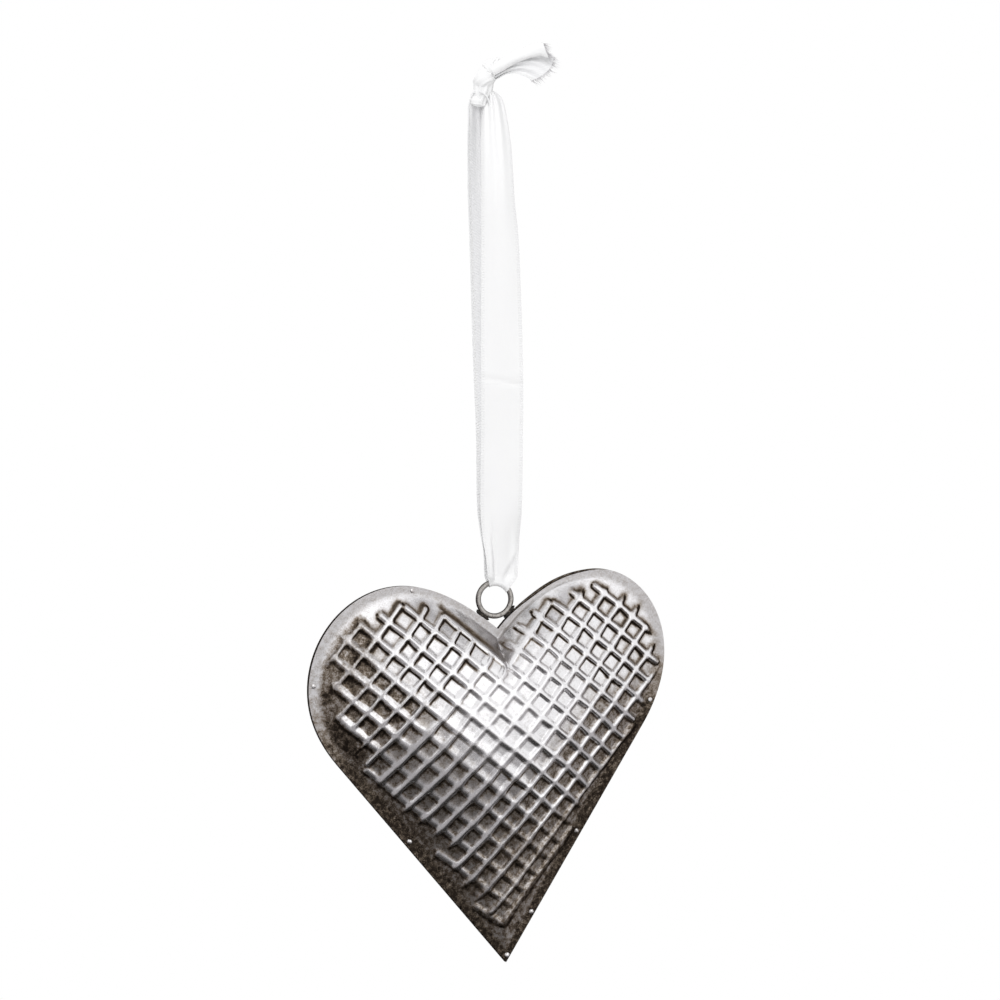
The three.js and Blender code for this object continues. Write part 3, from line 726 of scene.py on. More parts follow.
def waffle_values(plan, columns, rows, sizes):
    """Point values of the waffle: ridge height, rubbed places with painted highlight and shade, grime with
    painted shade, patina and rim.

    Grime and painted shade is the most of the foot lines, the painted shade in the cells' top corners, an
    uneven halo round the ridges near the border, and a band. It spares the ridges' tops and a clean place on
    the crown.
    Patina carries painted shade that darkens it towards the top corner of each cell.
    """
    zones = {name: zone_strength(name, columns, rows) for name in ZONES}
    reach, outline = outline_reach(plan)
    level = reach / (outline - sizes.rim)
    falling = ridge_set(columns, rows, FALLING_FIRST, FALLING_ENDS, FALLING_SEED, sizes, True, FALLING_FIRST)
    rising = ridge_set(rows, columns, RISING_FIRST, RISING_ENDS, RISING_SEED, sizes, False, 0)
    height, rubbed_and_painted_light = worn_ridges(falling, rising, reach, zones, sizes)
    beyond = smoothstep(np.maximum(np.abs(falling), np.abs(rising)), *BEYOND_ENDS)
    patina = floor_patina(columns, rows, beyond, zones)
    corner = np.where(falling > 0, falling, 1 + falling) + np.where(rising > 0, 1 - rising, -rising)
    lines = foot_grime_and_shade(falling, rising, level, patina, sizes.ridge_foot)
    # Painted shade in the top corner of each cell, under the ridge above it
    shade = zones["shaded"] * smoothstep(corner, *SHADE_CORNER) * (1 - patina) * (1 - beyond)
    near = np.minimum(np.abs(falling), np.abs(rising)) / sizes.ridge_foot
    halo = HALO * (1 - smoothstep(near, *HALO_NEAR)) * smoothstep(level, *HALO_LEVEL)
    lobe = zones["outlined_lobe"] * (HALO_LOBE + HALO_LOBE_ENDS * beyond)
    halo *= fade(np.hypot(*(plan - NOTCH * MM).T), HALO_NOTCH) * (1 - (1 - lobe) * patina)
    size, by_column, by_row = HALO_WAVE
    halo *= 1 - size + size * np.sin(by_column * columns + by_row * rows)
    # Grime and painted shade together, spared on the ridges' tops
    grime_and_shade = np.maximum.reduce((lines, shade, halo, zones["band"])) * np.minimum(1, GRIME_AND_SHADE_DEPTH * (1 - height))
    clean = np.minimum(np.hypot(*(plan - (CROWN + CLEAN_OFFSET) * MM).T), reach + CLEAN_MARGIN * MM)
    tone = 1 + PATINA_LEFT * zones["left"] - PATINA_MIDDLE * zones["middle"]
    # Painted shade that darkens the patina towards the top corner of each cell
    painted_corner_shade = PAINTED_CORNER_SHADE + PAINTED_CORNER_SHADE_MIDDLE * zones["middle"]
    tone *= 1 + painted_corner_shade * (smoothstep(corner, *PAINTED_CORNER_SHADE_FROM) - PAINTED_CORNER_SHADE_EVEN)
    return {
        "ridge": height,
        "rubbed_and_painted_light": rubbed_and_painted_light,
        "foot": grime_and_shade * fade(clean, CLEAN_SPAN),
        "patina": patina * tone * (1 - zones["pale_left"]),
        "rim": fade(reach - outline, RIM_SPAN),
    }


# Meshes from arrays


def grid_quads(rows, columns, around=False, closed=False):
    """Quads of a grid of points; around joins the last column to the first, closed the last row."""
    i = np.arange(rows if closed else rows - 1)[:, None]
    j = np.arange(columns if around else columns - 1)[None, :]
    below = (i + 1) % rows
    beside = (j + 1) % columns
    corners = (i * columns + j, i * columns + beside, below * columns + beside, below * columns + j)
    return np.stack(np.broadcast_arrays(*corners), axis=-1).reshape(-1, 4)


def as_triangles(quads):
    """Each quad as two triangles."""
    return np.concatenate((quads[:, (0, 1, 2)], quads[:, (0, 2, 3)]))


def outward(points, triangles):
    """The triangles turned so that the volume they close, a sum of corner products, is positive."""
    a, b, c = (points[triangles[:, k]] for k in range(3))
    volume = np.einsum("ij,ij->", a - points[0], np.cross(b - points[0], c - points[0]))
    return triangles if volume > 0 else triangles[:, ::-1]


def put_piece(name, points, faces, material, slot, uv=None, sharp=45, **values):
    """A mesh object at the origin with its faces, its named point values, its own UV map and its finish."""
    mesh = bpy.data.meshes.new(name)
    mesh.from_pydata(points.tolist(), [], faces.tolist())
    mesh.polygons.foreach_set("use_smooth", np.ones(len(mesh.polygons), bool))
    for label, numbers in values.items():
        layer = mesh.attributes.new(label, "FLOAT", "POINT")
        layer.data.foreach_set("value", np.asarray(numbers, np.float32))
    if uv is not None:
        corner = np.empty(len(mesh.loops), np.int32)
        mesh.loops.foreach_get("vertex_index", corner)
        mesh.uv_layers.new(name="weave").uv.foreach_set("vector", uv[corner].astype(np.float32).ravel())
    mesh.set_sharp_from_angle(angle=math.radians(sharp))
    mesh.materials.append(material)
    mesh.update()
    piece = bpy.data.objects.new(name, mesh)
    bpy.context.scene.collection.objects.link(piece)
    return piece


def joined(parts):
    """Several (points, triangles) bodies as one, each turned outwards."""
    points = np.concatenate([part[0] for part in parts])
    starts = np.cumsum([0] + [len(part[0]) for part in parts[:-1]])
    faces = [outward(part[0], part[1]) + start for part, start in zip(parts, starts)]
    return points, np.concatenate(faces)


# Finishes


class Shader:
    """A material under construction, with short ways to add nodes and to join sockets."""

    def __init__(self, name):
        self.material = bpy.data.materials.new(name)
        self.material.use_nodes = True
        self.tree = self.material.node_tree
        self.surface = self.tree.nodes["Principled BSDF"]

    def node(self, kind, inputs=None, **settings):
        """A node with its settings, and with each input set to a number or joined to a socket."""
        made = self.tree.nodes.new(kind)
        for key, value in settings.items():
            setattr(made, key, value)
        self.feed(made, inputs or {})
        return made

    def feed(self, node, inputs):
        """Sets each input of a node to a number, or joins it to a socket."""
        for key, value in inputs.items():
            if isinstance(value, bpy.types.NodeSocket):
                self.tree.links.new(value, node.inputs[key])
            else:
                node.inputs[key].default_value = value

    def shade(self, **inputs):
        """Sets the surface's sockets; an underscore in a name stands for a space."""
        self.feed(self.surface, {key.replace("_", " "): value for key, value in inputs.items()})

    def value(self, name):
        """A named point value of the piece."""
        return self.node("ShaderNodeAttribute", attribute_name=name).outputs["Fac"]

    def place(self, kind="Object"):
        """Coordinates of the piece."""
        return self.node("ShaderNodeTexCoord").outputs[kind]

    def part(self, vector, axis):
        """One part of a vector."""
        return self.node("ShaderNodeSeparateXYZ", {0: vector}).outputs[axis]

    def maths(self, operation, first, second=0.0, third=0.0, clamp=False):
        """One step of arithmetic with up to three values."""
        inputs = {0: first, 1: second, 2: third}
        return self.node("ShaderNodeMath", inputs, operation=operation, use_clamp=clamp).outputs[0]

    def times(self, first, second):
        """The product of two values."""
        return self.maths("MULTIPLY", first, second)

    def plus(self, first, second, clamp=False):
        """The sum of two values."""
        return self.maths("ADD", first, second, clamp=clamp)

    def line(self, value, slope, start):
        """The value times a slope, plus a start."""
        return self.maths("MULTIPLY_ADD", value, slope, start)

    def span(self, value, low, high, to_low=0.0, to_high=1.0, smooth=True):
        """The value carried from low to high onto to_low to to_high."""
        inputs = {"Value": value, "From Min": low, "From Max": high, "To Min": to_low, "To Max": to_high}
        kind = "SMOOTHSTEP" if smooth else "LINEAR"
        return self.node("ShaderNodeMapRange", inputs, interpolation_type=kind).outputs["Result"]

    def turned(self, facing, across):
        """How far the surface turns from the front and the back, between two sizes of its normal's depth; the
        finishes paint shade with it where a surface turns away.
        """
        depth = self.maths("ABSOLUTE", self.part(self.place("Normal"), "Y"))
        return self.span(depth, facing, across)

    def blend(self, share, first, second):
        """Two colours mixed by a share."""
        inputs = {0: share, 6: first, 7: second}
        return self.node("ShaderNodeMix", inputs, data_type="RGBA").outputs[2]

    def noise(self, place, scale, detail=3.0, roughness=0.55):
        """Cloudy noise."""
        inputs = {"Vector": place, "Scale": scale, "Detail": detail, "Roughness": roughness}
        return self.node("ShaderNodeTexNoise", inputs).outputs["Fac"]

    def stripes(self, place, scale, distortion=0.0, direction="X"):
        """Even waves across one direction."""
        inputs = {"Vector": place, "Scale": scale, "Distortion": distortion}
        return self.node("ShaderNodeTexWave", inputs, bands_direction=direction).outputs["Fac"]

    def bump(self, height, distance, strength=1.0, under=None):
        """A normal tilted by a height, on top of another bump."""
        inputs = {"Height": height, "Distance": distance, "Strength": strength}
        if under is not None:
            inputs["Normal"] = under
        return self.node("ShaderNodeBump", inputs).outputs["Normal"]


def with_alpha(colour):
    """A colour with full cover."""
    return (*colour, 1)


def iron_finish(colours):
    """Burnished sheet iron: bright ridges, black grime and painted shade at their feet, a dull rim and brown
    patina lower down.

    Dirt and painted shade are a sum of settled patina, grime with painted shade, the rim's edge, patches and
    specks, less painted glints on the floors, and turn the clean iron brown and then black. The narrow edge
    of the rim, where the normal lies across, is dark with painted shade, and the low rim is dark too.
    """
    shader = Shader("burnished_iron")
    place = shader.place()
    rubbed_and_painted_light = shader.value("rubbed_and_painted_light")
    rim = shader.value("rim")
    patina = shader.value("patina")
    blotch = shader.noise(place, scale=160, detail=4)
    mottle = shader.noise(place, scale=900, detail=5, roughness=0.62)
    grain = shader.noise(place, scale=3600, detail=3)
    wavy = shader.line(blotch, slope=0.016, start=-0.008)
    apart = shader.node("ShaderNodeSeparateXYZ", {0: place}).outputs
    sideways = shader.maths("MAXIMUM", apart["X"], 0.0)
    height = shader.plus(apart["Z"], shader.line(sideways, slope=-0.25, start=wavy))
    low = shader.span(height, -136 * MM, -160 * MM)
    recess = shader.span(rubbed_and_painted_light, 0.15, 0.65, to_low=1.0, to_high=0.06)
    settled = shader.times(shader.line(patina, slope=0.66, start=0.06), recess)
    settled = shader.times(settled, shader.maths("SUBTRACT", 1.0, rim))
    # The rim's edge: a little darker all over, darker low down, and painted shade where the normal lies
    # across
    across = shader.plus(shader.turned(facing=0.75, across=0.35), 0.2)
    edge = shader.times(rim, shader.line(low, slope=0.86, start=across))
    # The foot value is grime and painted shade at the ridges' feet
    dirt_and_shade = shader.plus(settled, shader.plus(shader.value("foot"), edge))
    patches = shader.times(shader.maths("SUBTRACT", mottle, 0.55), shader.line(patina, slope=0.8, start=0.6))
    specks = shader.times(shader.maths("SUBTRACT", grain, 0.53), shader.line(rim, slope=0.4, start=0.5))
    floors = shader.maths("SUBTRACT", patina, rim, clamp=True)
    # Painted glints: bright specks on the floors
    painted_glints = shader.times(shader.span(grain, 0.7, 0.8, to_low=0.0, to_high=-1.2), floors)
    dirt_and_shade = shader.plus(dirt_and_shade, shader.plus(patches, shader.plus(specks, painted_glints)), clamp=True)
    clean = shader.blend(rim, with_alpha(colours.bright), with_alpha(colours.dull))
    # Stains and dirt, and the painted shade with them, turn the iron brown and then black
    stained_and_shaded = shader.blend(shader.span(dirt_and_shade, 0.0, 0.7, smooth=False), clean, with_alpha(colours.brown))
    colour = shader.blend(shader.span(dirt_and_shade, 0.6, 1.0, smooth=False), stained_and_shaded, with_alpha(colours.patina))
    rough = shader.span(shader.plus(dirt_and_shade, shader.times(grain, 0.3)), 0.1, 1.1, to_low=0.24, to_high=0.5)
    rough = shader.line(rim, slope=0.08, start=rough)
    pits = shader.bump(mottle, distance=0.12 * MM, strength=shader.line(rim, slope=0.5, start=0.4))
    relief = shader.bump(grain, distance=0.03 * MM, strength=0.5, under=pits)
    shader.shade(Base_Color=colour, Metallic=1.0, Roughness=rough, Normal=relief)
    shader.shade(Specular_Tint=(0.35, 0.33, 0.32, 1))
    return shader.material


def wire_finish(colours):
    """Drawn wire, darker in blotches, with painted shade where it turns away from the front and the back."""
    shader = Shader("drawn_wire")
    mottle = shader.noise(shader.place(), scale=1400, detail=4)
    blotches = shader.span(mottle, 0.4, 0.75, to_low=0.0, to_high=0.5)
    # Painted shade where the wire turns away, added to the blotches
    share = shader.plus(shader.turned(facing=0.85, across=0.35), blotches, clamp=True)
    colour = shader.blend(share, with_alpha(colours.wire), with_alpha(colours.patina))
    rough = shader.span(mottle, 0.3, 0.8, to_low=0.22, to_high=0.4)
    drawn = shader.bump(mottle, distance=0.04 * MM, strength=0.5)
    shader.shade(Base_Color=colour, Metallic=1.0, Roughness=rough, Normal=drawn)
    return shader.material


def solder_finish(colours):
    """Dark, uneven solder."""
    shader = Shader("dark_solder")
    lumps = shader.noise(shader.place(), scale=1500, detail=4)
    share = shader.span(lumps, 0.45, 0.9)
    colour = shader.blend(share, with_alpha(colours.solder), with_alpha(colours.brown))
    rough = shader.span(lumps, 0.3, 0.8, to_low=0.85, to_high=0.6)
    uneven = shader.bump(lumps, distance=0.15 * MM, strength=0.7)
    shader.shade(Base_Color=colour, Roughness=rough, Normal=uneven, Metallic=0.2, Specular_IOR_Level=0.25)
    return shader.material


def weld_finish(colours):
    """Small bright spots with brown specks."""
    shader = Shader("bright_weld")
    grain = shader.noise(shader.place(), scale=3000, detail=3)
    share = shader.span(grain, 0.35, 0.8)
    colour = shader.blend(share, with_alpha(colours.bright), with_alpha(colours.brown))
    rough = shader.span(grain, 0.3, 0.8, to_low=0.2, to_high=0.34)
    shader.shade(Base_Color=colour, Metallic=1.0, Roughness=rough)
    return shader.material


def satin_finish(colours):
    """Single-faced satin: glossy threads outside, dull diagonal twill inside painted grey, darkest in its
    furrows as painted shade, tight woven edges left white.
    """
    shader = Shader("white_satin")
    weave = shader.node("ShaderNodeUVMap", uv_map="weave").outputs["UV"]
    dull = shader.value("dull")
    turned = {"Vector": weave, "Rotation": (0, 0, math.radians(62))}
    twill = shader.stripes(shader.node("ShaderNodeMapping", turned).outputs[0], scale=5.2, distortion=0.4)
    threads = shader.stripes(weave, scale=21.0, distortion=0.6)
    picks = shader.stripes(weave, scale=8.0, direction="Y")
    middle = shader.maths("ABSOLUTE", shader.maths("SUBTRACT", shader.part(weave, "X"), 0.5))
    edge = shader.times(shader.span(middle, 0.41, 0.43), shader.span(middle, 0.495, 0.48))
    # Painted shade: the dull face is painted grey, darkest in the twill's furrows, and white at the woven
    # edges
    furrows = shader.times(dull, shader.line(twill, slope=0.8, start=0.2))
    furrows = shader.times(furrows, shader.maths("SUBTRACT", 1.0, edge))
    colour = shader.blend(furrows, with_alpha(colours.satin), with_alpha(colours.twill))
    fine = shader.bump(threads, distance=0.012 * MM, strength=0.35)
    ribbed = shader.bump(shader.times(twill, dull), distance=0.06 * MM, strength=0.6, under=fine)
    stitched = shader.bump(shader.times(edge, picks), distance=0.08 * MM, strength=0.7, under=ribbed)
    rough = shader.span(dull, 0.0, 1.0, to_low=0.36, to_high=0.72)
    shader.shade(Base_Color=colour, Roughness=rough, Normal=stitched, Anisotropic=0.45)
    shader.shade(Sheen_Weight=0.25, Sheen_Roughness=0.4)
    return shader.material


def thread_finish(colours):
    """Loose satin threads, painted a little grey as painted shade among them."""
    shader = Shader("loose_thread")
    shader.shade(Base_Color=with_alpha(colours.thread), Roughness=0.5)
    return shader.material


# The iron heart


def trimmed_waffle():
    """The waffle's grid cut to the outline: plan points, columns, rows, triangles and the edge's numbers.

    Grid lines lie close together on the ridges' flanks. Points outside the outline are drawn in along a ray
    to the crown, and points that then share a place become one.
    """
    beside = np.array(FLANK_LINES)
    offsets = np.concatenate((-beside[:0:-1], beside, [0.5]))
    lines = (np.arange(-WAFFLE_REACH, WAFFLE_REACH + 1)[:, None] + offsets).ravel()
    columns, rows = np.meshgrid(lines, lines, indexing="ij")
    plan = waffle_plan(columns, rows).reshape(-1, 2)
    reach, outline = outline_reach(plan)
    inside = reach < outline - OUTLINE_SNAP * MM
    quads = grid_quads(len(lines), len(lines))[:, ::-1]
    quads = quads[inside[quads].any(axis=1)]
    crown = CROWN * MM
    plan = np.where(inside[:, None], plan, crown + (plan - crown) * (outline / reach)[:, None])
    drawn = np.unique(quads[~inside[quads]])
    for corner in (NOTCH * MM, (NOTCH + HEART_TIP) * MM):
        plan[drawn[np.argmin(np.hypot(*(plan[drawn] - corner).T))]] = corner
    used = np.unique(quads)
    rank = np.zeros(len(plan), int)
    rank[used] = np.arange(len(used))
    keys = np.round(plan[used] / (MERGE_STEP * MM)).astype(np.int64)
    _, first, same = np.unique(keys, axis=0, return_index=True, return_inverse=True)
    triangles = same.ravel()[rank[as_triangles(quads)]]
    a, b, c = triangles.T
    triangles = triangles[(a != b) & (b != c) & (c != a)]
    kept = used[first]
    edge = np.flatnonzero(~inside[kept])
    away = plan[kept][edge] - crown
    edge = edge[np.argsort(np.arctan2(away[:, 1], away[:, 0]))]
    return plan[kept], columns.ravel()[kept], rows.ravel()[kept], triangles, edge


def heart_half(side, surface, sizes):
    """Points, triangles and point values of one half; side is -1 in front and 1 behind.

    The rim is first drawn in at the upper left of the right lobe. Outside, depth is the sheet, the dome and
    the ridges. Inside, rings go from the edge over the smooth dome to the crown, so that the half is a closed
    shell.
    """
    plan, values, triangles, edge = surface
    crown = CROWN * MM
    away = plan[edge] - crown
    bend = away * (1 - sizes.rim / np.hypot(*away.T)[:, None])
    share = window(plan[:, 0] / MM, *RIM_STEP_SPAN) * values["rim"] * (plan[:, 1] > NOTCH[1] * MM)
    plan = plan + share[:, None] * (RIM_STEP_BACK if side > 0 else RIM_STEP_FRONT) * MM
    depth = sizes.seam / 2 + sizes.sheet + dome_height(plan, sizes) + sizes.ridge * values["ridge"]
    rings = [plan[edge]] + [crown + bend * level for level in (1, *INNER_LEVELS)]
    inner = np.concatenate(rings + [crown[None, :]])
    inner_depth = sizes.seam / 2 + dome_height(inner, sizes)
    count = len(edge)
    start = len(plan)
    numbers = np.concatenate((edge, start + np.arange(count * len(rings)))).reshape(-1, count)
    strips = as_triangles(numbers.ravel()[grid_quads(len(numbers), count, around=True)])
    last = numbers[-1]
    fan = np.stack((np.roll(last, -1), last, np.full(count, start + len(inner) - 1)), axis=-1)
    faces = np.concatenate((triangles, strips[:, ::-1], fan))
    flat = np.concatenate((plan, inner))
    depths = np.concatenate((depth, inner_depth))
    points = np.stack((flat[:, 0], side * depths, flat[:, 1]), axis=-1)
    kept = {}
    for name, number in INNER_VALUES.items():
        kept[name] = np.append(values[name], np.full(len(inner), number))
    return points, outward(points, faces), kept


def ring_points(centre, radius, thick, around, sides):
    """A torus in the plane of the heart: a small circle carried round a large one."""
    large = full_turn(around)[:, None]
    small = full_turn(sides)[None, :]
    reach = radius + thick * np.cos(small)
    x = centre[0] + reach * np.cos(large)
    z = centre[1] + reach * np.sin(large)
    y = np.broadcast_to(thick * np.sin(small), x.shape)
    return np.stack((x, y, z), axis=-1).reshape(-1, 3)


def lump_points(size, steps, sides, seed):
    """A rounded lump: an ellipsoid whose radius swells and sinks with the sines of its two angles."""
    tilt = np.linspace(0, math.pi, steps)[:, None]
    spin = full_turn(sides)[None, :]
    swell = 1 + LUMP_SWELL[0] * np.sin(tilt) * np.sin(3 * spin + seed)
    swell = swell + LUMP_SWELL[1] * np.sin(2 * tilt) * np.sin(2 * spin + 2 * seed)
    x = size[0] * swell * np.sin(tilt) * np.cos(spin)
    y = size[1] * swell * np.sin(tilt) * np.sin(spin)
    z = size[2] * swell * np.cos(tilt) + np.zeros_like(spin)
    return np.stack((x, y, z), axis=-1)


def closed_body(points):
    """A grid of points, round in its columns and pinched at its first and last row: points and triangles."""
    rows, columns = points.shape[:2]
    tops = points[[0, -1]].mean(axis=1)
    middle = points[1:-1].reshape(-1, 3)
    quads = as_triangles(grid_quads(rows - 2, columns, around=True))
    turn = np.arange(columns)
    after = np.roll(turn, -1)
    first = np.full(columns, len(middle))
    base = (rows - 3) * columns
    caps = np.concatenate((
        np.stack((after, turn, first), axis=-1),
        np.stack((base + turn, base + after, first + 1), axis=-1),
    ))
    return np.concatenate((middle, tops)), np.concatenate((quads, caps))


class ORNAMENT_OT_heart(bpy.types.Operator):
    """Build the two pressed halves of the heart"""

    bl_idname = "ornament.heart"
    bl_label = "Heart halves"

    def execute(self, context):
        sizes = context.scene.heart_sizes
        material = iron_finish(context.scene.finishes)
        plan, columns, rows, triangles, edge = trimmed_waffle()
        surface = (plan, waffle_values(plan, columns, rows, sizes), triangles, edge)
        for name, side in (("front_shell", -1), ("back_shell", 1)):
            points, faces, kept = heart_half(side, surface, sizes)
            half = put_piece("heart_" + name, points, faces, material, "iron_sheet", **kept)
            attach(half, "heart")
            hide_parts(name)
        return {"FINISHED"}


class ORNAMENT_OT_ring(bpy.types.Operator):
    """Build the hanging ring and the solder that holds it"""

    bl_idname = "ornament.ring"
    bl_label = "Ring and solder"

    def execute(self, context):
        sizes = context.scene.heart_sizes
        colours = context.scene.finishes
        points = ring_points(RING_CENTRE * MM, sizes.ring, sizes.wire, RING_STEPS, WIRE_SIDES)
        faces = outward(points, as_triangles(grid_quads(RING_STEPS, WIRE_SIDES, around=True, closed=True)))
        ring = put_piece("wire_ring", points, faces, wire_finish(colours), "iron_wire")
        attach(ring, "heart")
        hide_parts("hanging_ring")
        material = solder_finish(colours)
        for side, degrees in SOLDER_ANGLES.items():
            angle = math.radians(degrees)
            lump = lump_points(SOLDER_SIZE * MM, *SOLDER_GRID, degrees)
            out = np.array((math.cos(angle), 0, math.sin(angle)))
            round_ring = np.array((-math.sin(angle), 0, math.cos(angle)))
            reach = sizes.ring + sizes.wire + SOLDER_REACH * MM
            centre = np.array((RING_CENTRE[0] * MM, 0, RING_CENTRE[1] * MM)) + reach * out
            placed = centre + lump @ np.stack((out, (0, 1, 0), round_ring))
            points, faces = joined([closed_body(placed)])
            solder = put_piece("solder_" + side, points, faces, material, "solder")
            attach(solder, "heart")
            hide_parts("ring_solder_" + side)
        return {"FINISHED"}


class ORNAMENT_OT_welds(bpy.types.Operator):
    """Build the spot welds on the front of the rim"""

    bl_idname = "ornament.welds"
    bl_label = "Rim welds"

    def execute(self, context):
        material = weld_finish(context.scene.finishes)
        for number in range(1, WELD_COUNT + 1):
            low, high = (np.array(corner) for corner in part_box(f"rim_weld_{number}"))
            size = (high - low) / 2
            lump = lump_points((size[0], size[1] * WELD_DEEPER, size[2]), *WELD_GRID, number)
            centre = np.array(((low[0] + high[0]) / 2, high[1] + size[1] * WELD_SINK, (low[2] + high[2]) / 2))
            points, faces = joined([closed_body(lump + centre)])
            weld = put_piece(f"weld_spot_{number}", points, faces, material, "weld")
            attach(weld, "heart")
            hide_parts(f"rim_weld_{number}")
        return {"FINISHED"}


# The satin ribbon


def ribbon_body(middle, facing, thickness, width, flip=False):
    """A closed strip of cloth round its middle surface: points, triangles, UV and which side is dull.

    The two faces stand half the thickness to each side along the facing, a little more at the woven edges,
    and the UV counts widths of ribbon across and along.
    """
    rows, columns = middle.shape[:2]
    share = np.linspace(-1, 1, columns)
    half = thickness / 2 * (1 + SELVEDGE_SWELL * smoothstep(np.abs(share), *SELVEDGE_SPAN))[None, :, None]
    points = np.concatenate((middle + half * facing, middle - half * facing)).reshape(-1, 3)
    count = rows * columns
    front = grid_quads(rows, columns)
    number = np.arange(count).reshape(rows, columns)
    rim = np.concatenate((number[0, :-1], number[:-1, -1], number[-1, :0:-1], number[:0:-1, 0]))
    after = np.roll(rim, -1)
    wall = np.stack((after, rim, rim + count, after + count), axis=-1)
    faces = as_triangles(np.concatenate((front, front[:, ::-1] + count, wall)))
    step = np.linalg.norm(np.diff(middle[:, columns // 2], axis=0), axis=-1)
    along = np.concatenate(([0], np.cumsum(step))) / width
    uv = np.stack(np.broadcast_arrays(share[None, :] / 2 + 0.5, along[:, None]), axis=-1).reshape(-1, 2)
    dull = np.repeat((1.0, 0.0) if flip else (0.0, 1.0), count)
    return points, outward(points, faces), np.concatenate((uv, uv)), dull


def surface_facing(middle, towards):
    """Unit normals of a grid of points: the cross product of its two slopes.

    They lie on the side of towards at the grid's start.
    """
    normal = np.cross(np.gradient(middle, axis=0), np.gradient(middle, axis=1))
    normal /= np.linalg.norm(normal, axis=-1, keepdims=True) + 1e-12
    sign = np.sign(np.sum(normal[0] * towards))
    return normal * sign


def front_creases(t, z, over_ring):
    """Depth of the front strand's creases: a fold and a slanting ledge over the ring, and one higher up."""
    fold = np.exp(-(((t - FOLD_PLACE) / FOLD_BREADTH) ** 2))
    ledge = smoothstep(t - LEDGE_PLACE - LEDGE_SLANT * (z / MM - LEDGE_HEIGHT), *LEDGE_SPAN)
    ledge = ledge * (1 - smoothstep(t, *LEDGE_END))
    slant = z / MM - (CREASE_HEIGHT + CREASE_SLANT * t)
    crease = CREASE_DEPTH * np.exp(-((slant / CREASE_BREADTH) ** 2))
    return MM * (FOLD_DEPTH * over_ring * (fold + ledge) * fade(z, FOLD_SPAN) + crease)


def strand_surface(side, heights, columns, ribbon):
    """Middle surface of one strand; side is -1 in front of the loop and 1 behind it.

    Each row is an arc across the ribbon, deeper where the ribbon is drawn narrow. Cosine pleats fan out under
    the knot, and a valley opens over the ring. A slight ripple is a product of two sines of the height. The
    front strand has its own creases, and the back strand comes out of the knot further left, by a shift that
    fades like an exponential.
    """
    table = smooth_rows(STRAND_STATIONS, STATION_STEPS)[::-1] * MM
    middle, gap, width = (np.interp(heights, table[:, 0], table[:, k])[:, None] for k in (1, 2, 3))
    z = heights[:, None]
    t = np.linspace(-1, 1, columns)[None, :]
    turn = SATIN_TURN * fade(z, STRAND_TURN_SPAN)
    bulge = ribbon.curl * np.sqrt(np.maximum(ribbon.width**2 - width**2, 0)) * fade(z, BULGE_SPAN)
    under_knot = np.exp(np.minimum(z, 0) / (PLEAT_FADE * MM))
    pleats = PLEAT_DEPTH * MM * under_knot * np.cos(PLEAT_RATE * (t + PLEAT_SHIFT * side))
    over_ring = 1 - fade(z, GATHER_SPAN)
    valley = VALLEY_DEPTH * MM * over_ring * window(t, *VALLEY_SPAN)
    first, second = (z / (length * MM) for length in RIPPLE_LENGTHS)
    ripple = RIPPLE_DEPTH * MM * np.sin(first + side) * np.sin(second) * (t + RIPPLE_LEAN * t**2)
    depth = bulge * t**2 + pleats + valley + ripple
    across = t * width / 2
    if side < 0:
        depth = depth + front_creases(t, z, over_ring)
    else:
        across = across + BACK_SHIFT * MM * np.exp(np.minimum(z, 0) / (BACK_SHIFT_FADE * MM))
    x = middle + np.cos(turn) * across + side * depth * np.sin(turn)
    y = side * gap + np.sin(turn) * across - side * depth * np.cos(turn)
    return np.stack(np.broadcast_arrays(x, y, z), axis=-1)


def bight_surface(ribbon, sizes, columns):
    """Middle surface of the strip from the front strand through the ring to the back strand.

    Two legs run straight from the strands to the wire, and between them each thread goes half round the
    underside of the wire.
    """
    heights = np.linspace(STRAND_SPLIT, LEG_TOP, LOWER_ROWS) * MM
    front = strand_surface(-1, heights, columns, ribbon)
    back = strand_surface(1, heights, columns, ribbon)[::-1]
    angle = np.radians(np.linspace(BIGHT_TO, BIGHT_FROM, columns))
    out = np.stack((np.cos(angle), np.zeros(columns), np.sin(angle)), axis=-1)
    wire = np.array((RING_CENTRE[0] * MM, 0, RING_CENTRE[1] * MM)) + sizes.ring * out
    up = unit_rows(out + UPWARD)
    radius = sizes.wire + ribbon.hug + ribbon.thickness / 2
    bend = np.linspace(0, math.pi, BEND_ROWS)[:, None, None]
    round_wire = wire - radius * np.sin(bend) * up - radius * np.cos(bend) * np.array((0, 1, 0))
    share = np.linspace(0, 1, LEG_ROWS)[1:-1, None, None]
    front_leg = front[-1] + (round_wire[0] - front[-1]) * share
    back_leg = round_wire[-1] + (back[0] - round_wire[-1]) * share
    return np.concatenate((front, front_leg, round_wire, back_leg, back))


def put_ribbon(name, middle, towards, ribbon, material, flip=False):
    """A ribbon piece from its middle surface, with the satin face turned towards a direction at its start."""
    facing = surface_facing(middle, towards)
    points, faces, uv, dull = ribbon_body(middle, facing, ribbon.thickness, ribbon.width, flip)
    return put_piece(name, points, faces, material, "satin_ribbon", uv=uv, sharp=60, dull=dull)


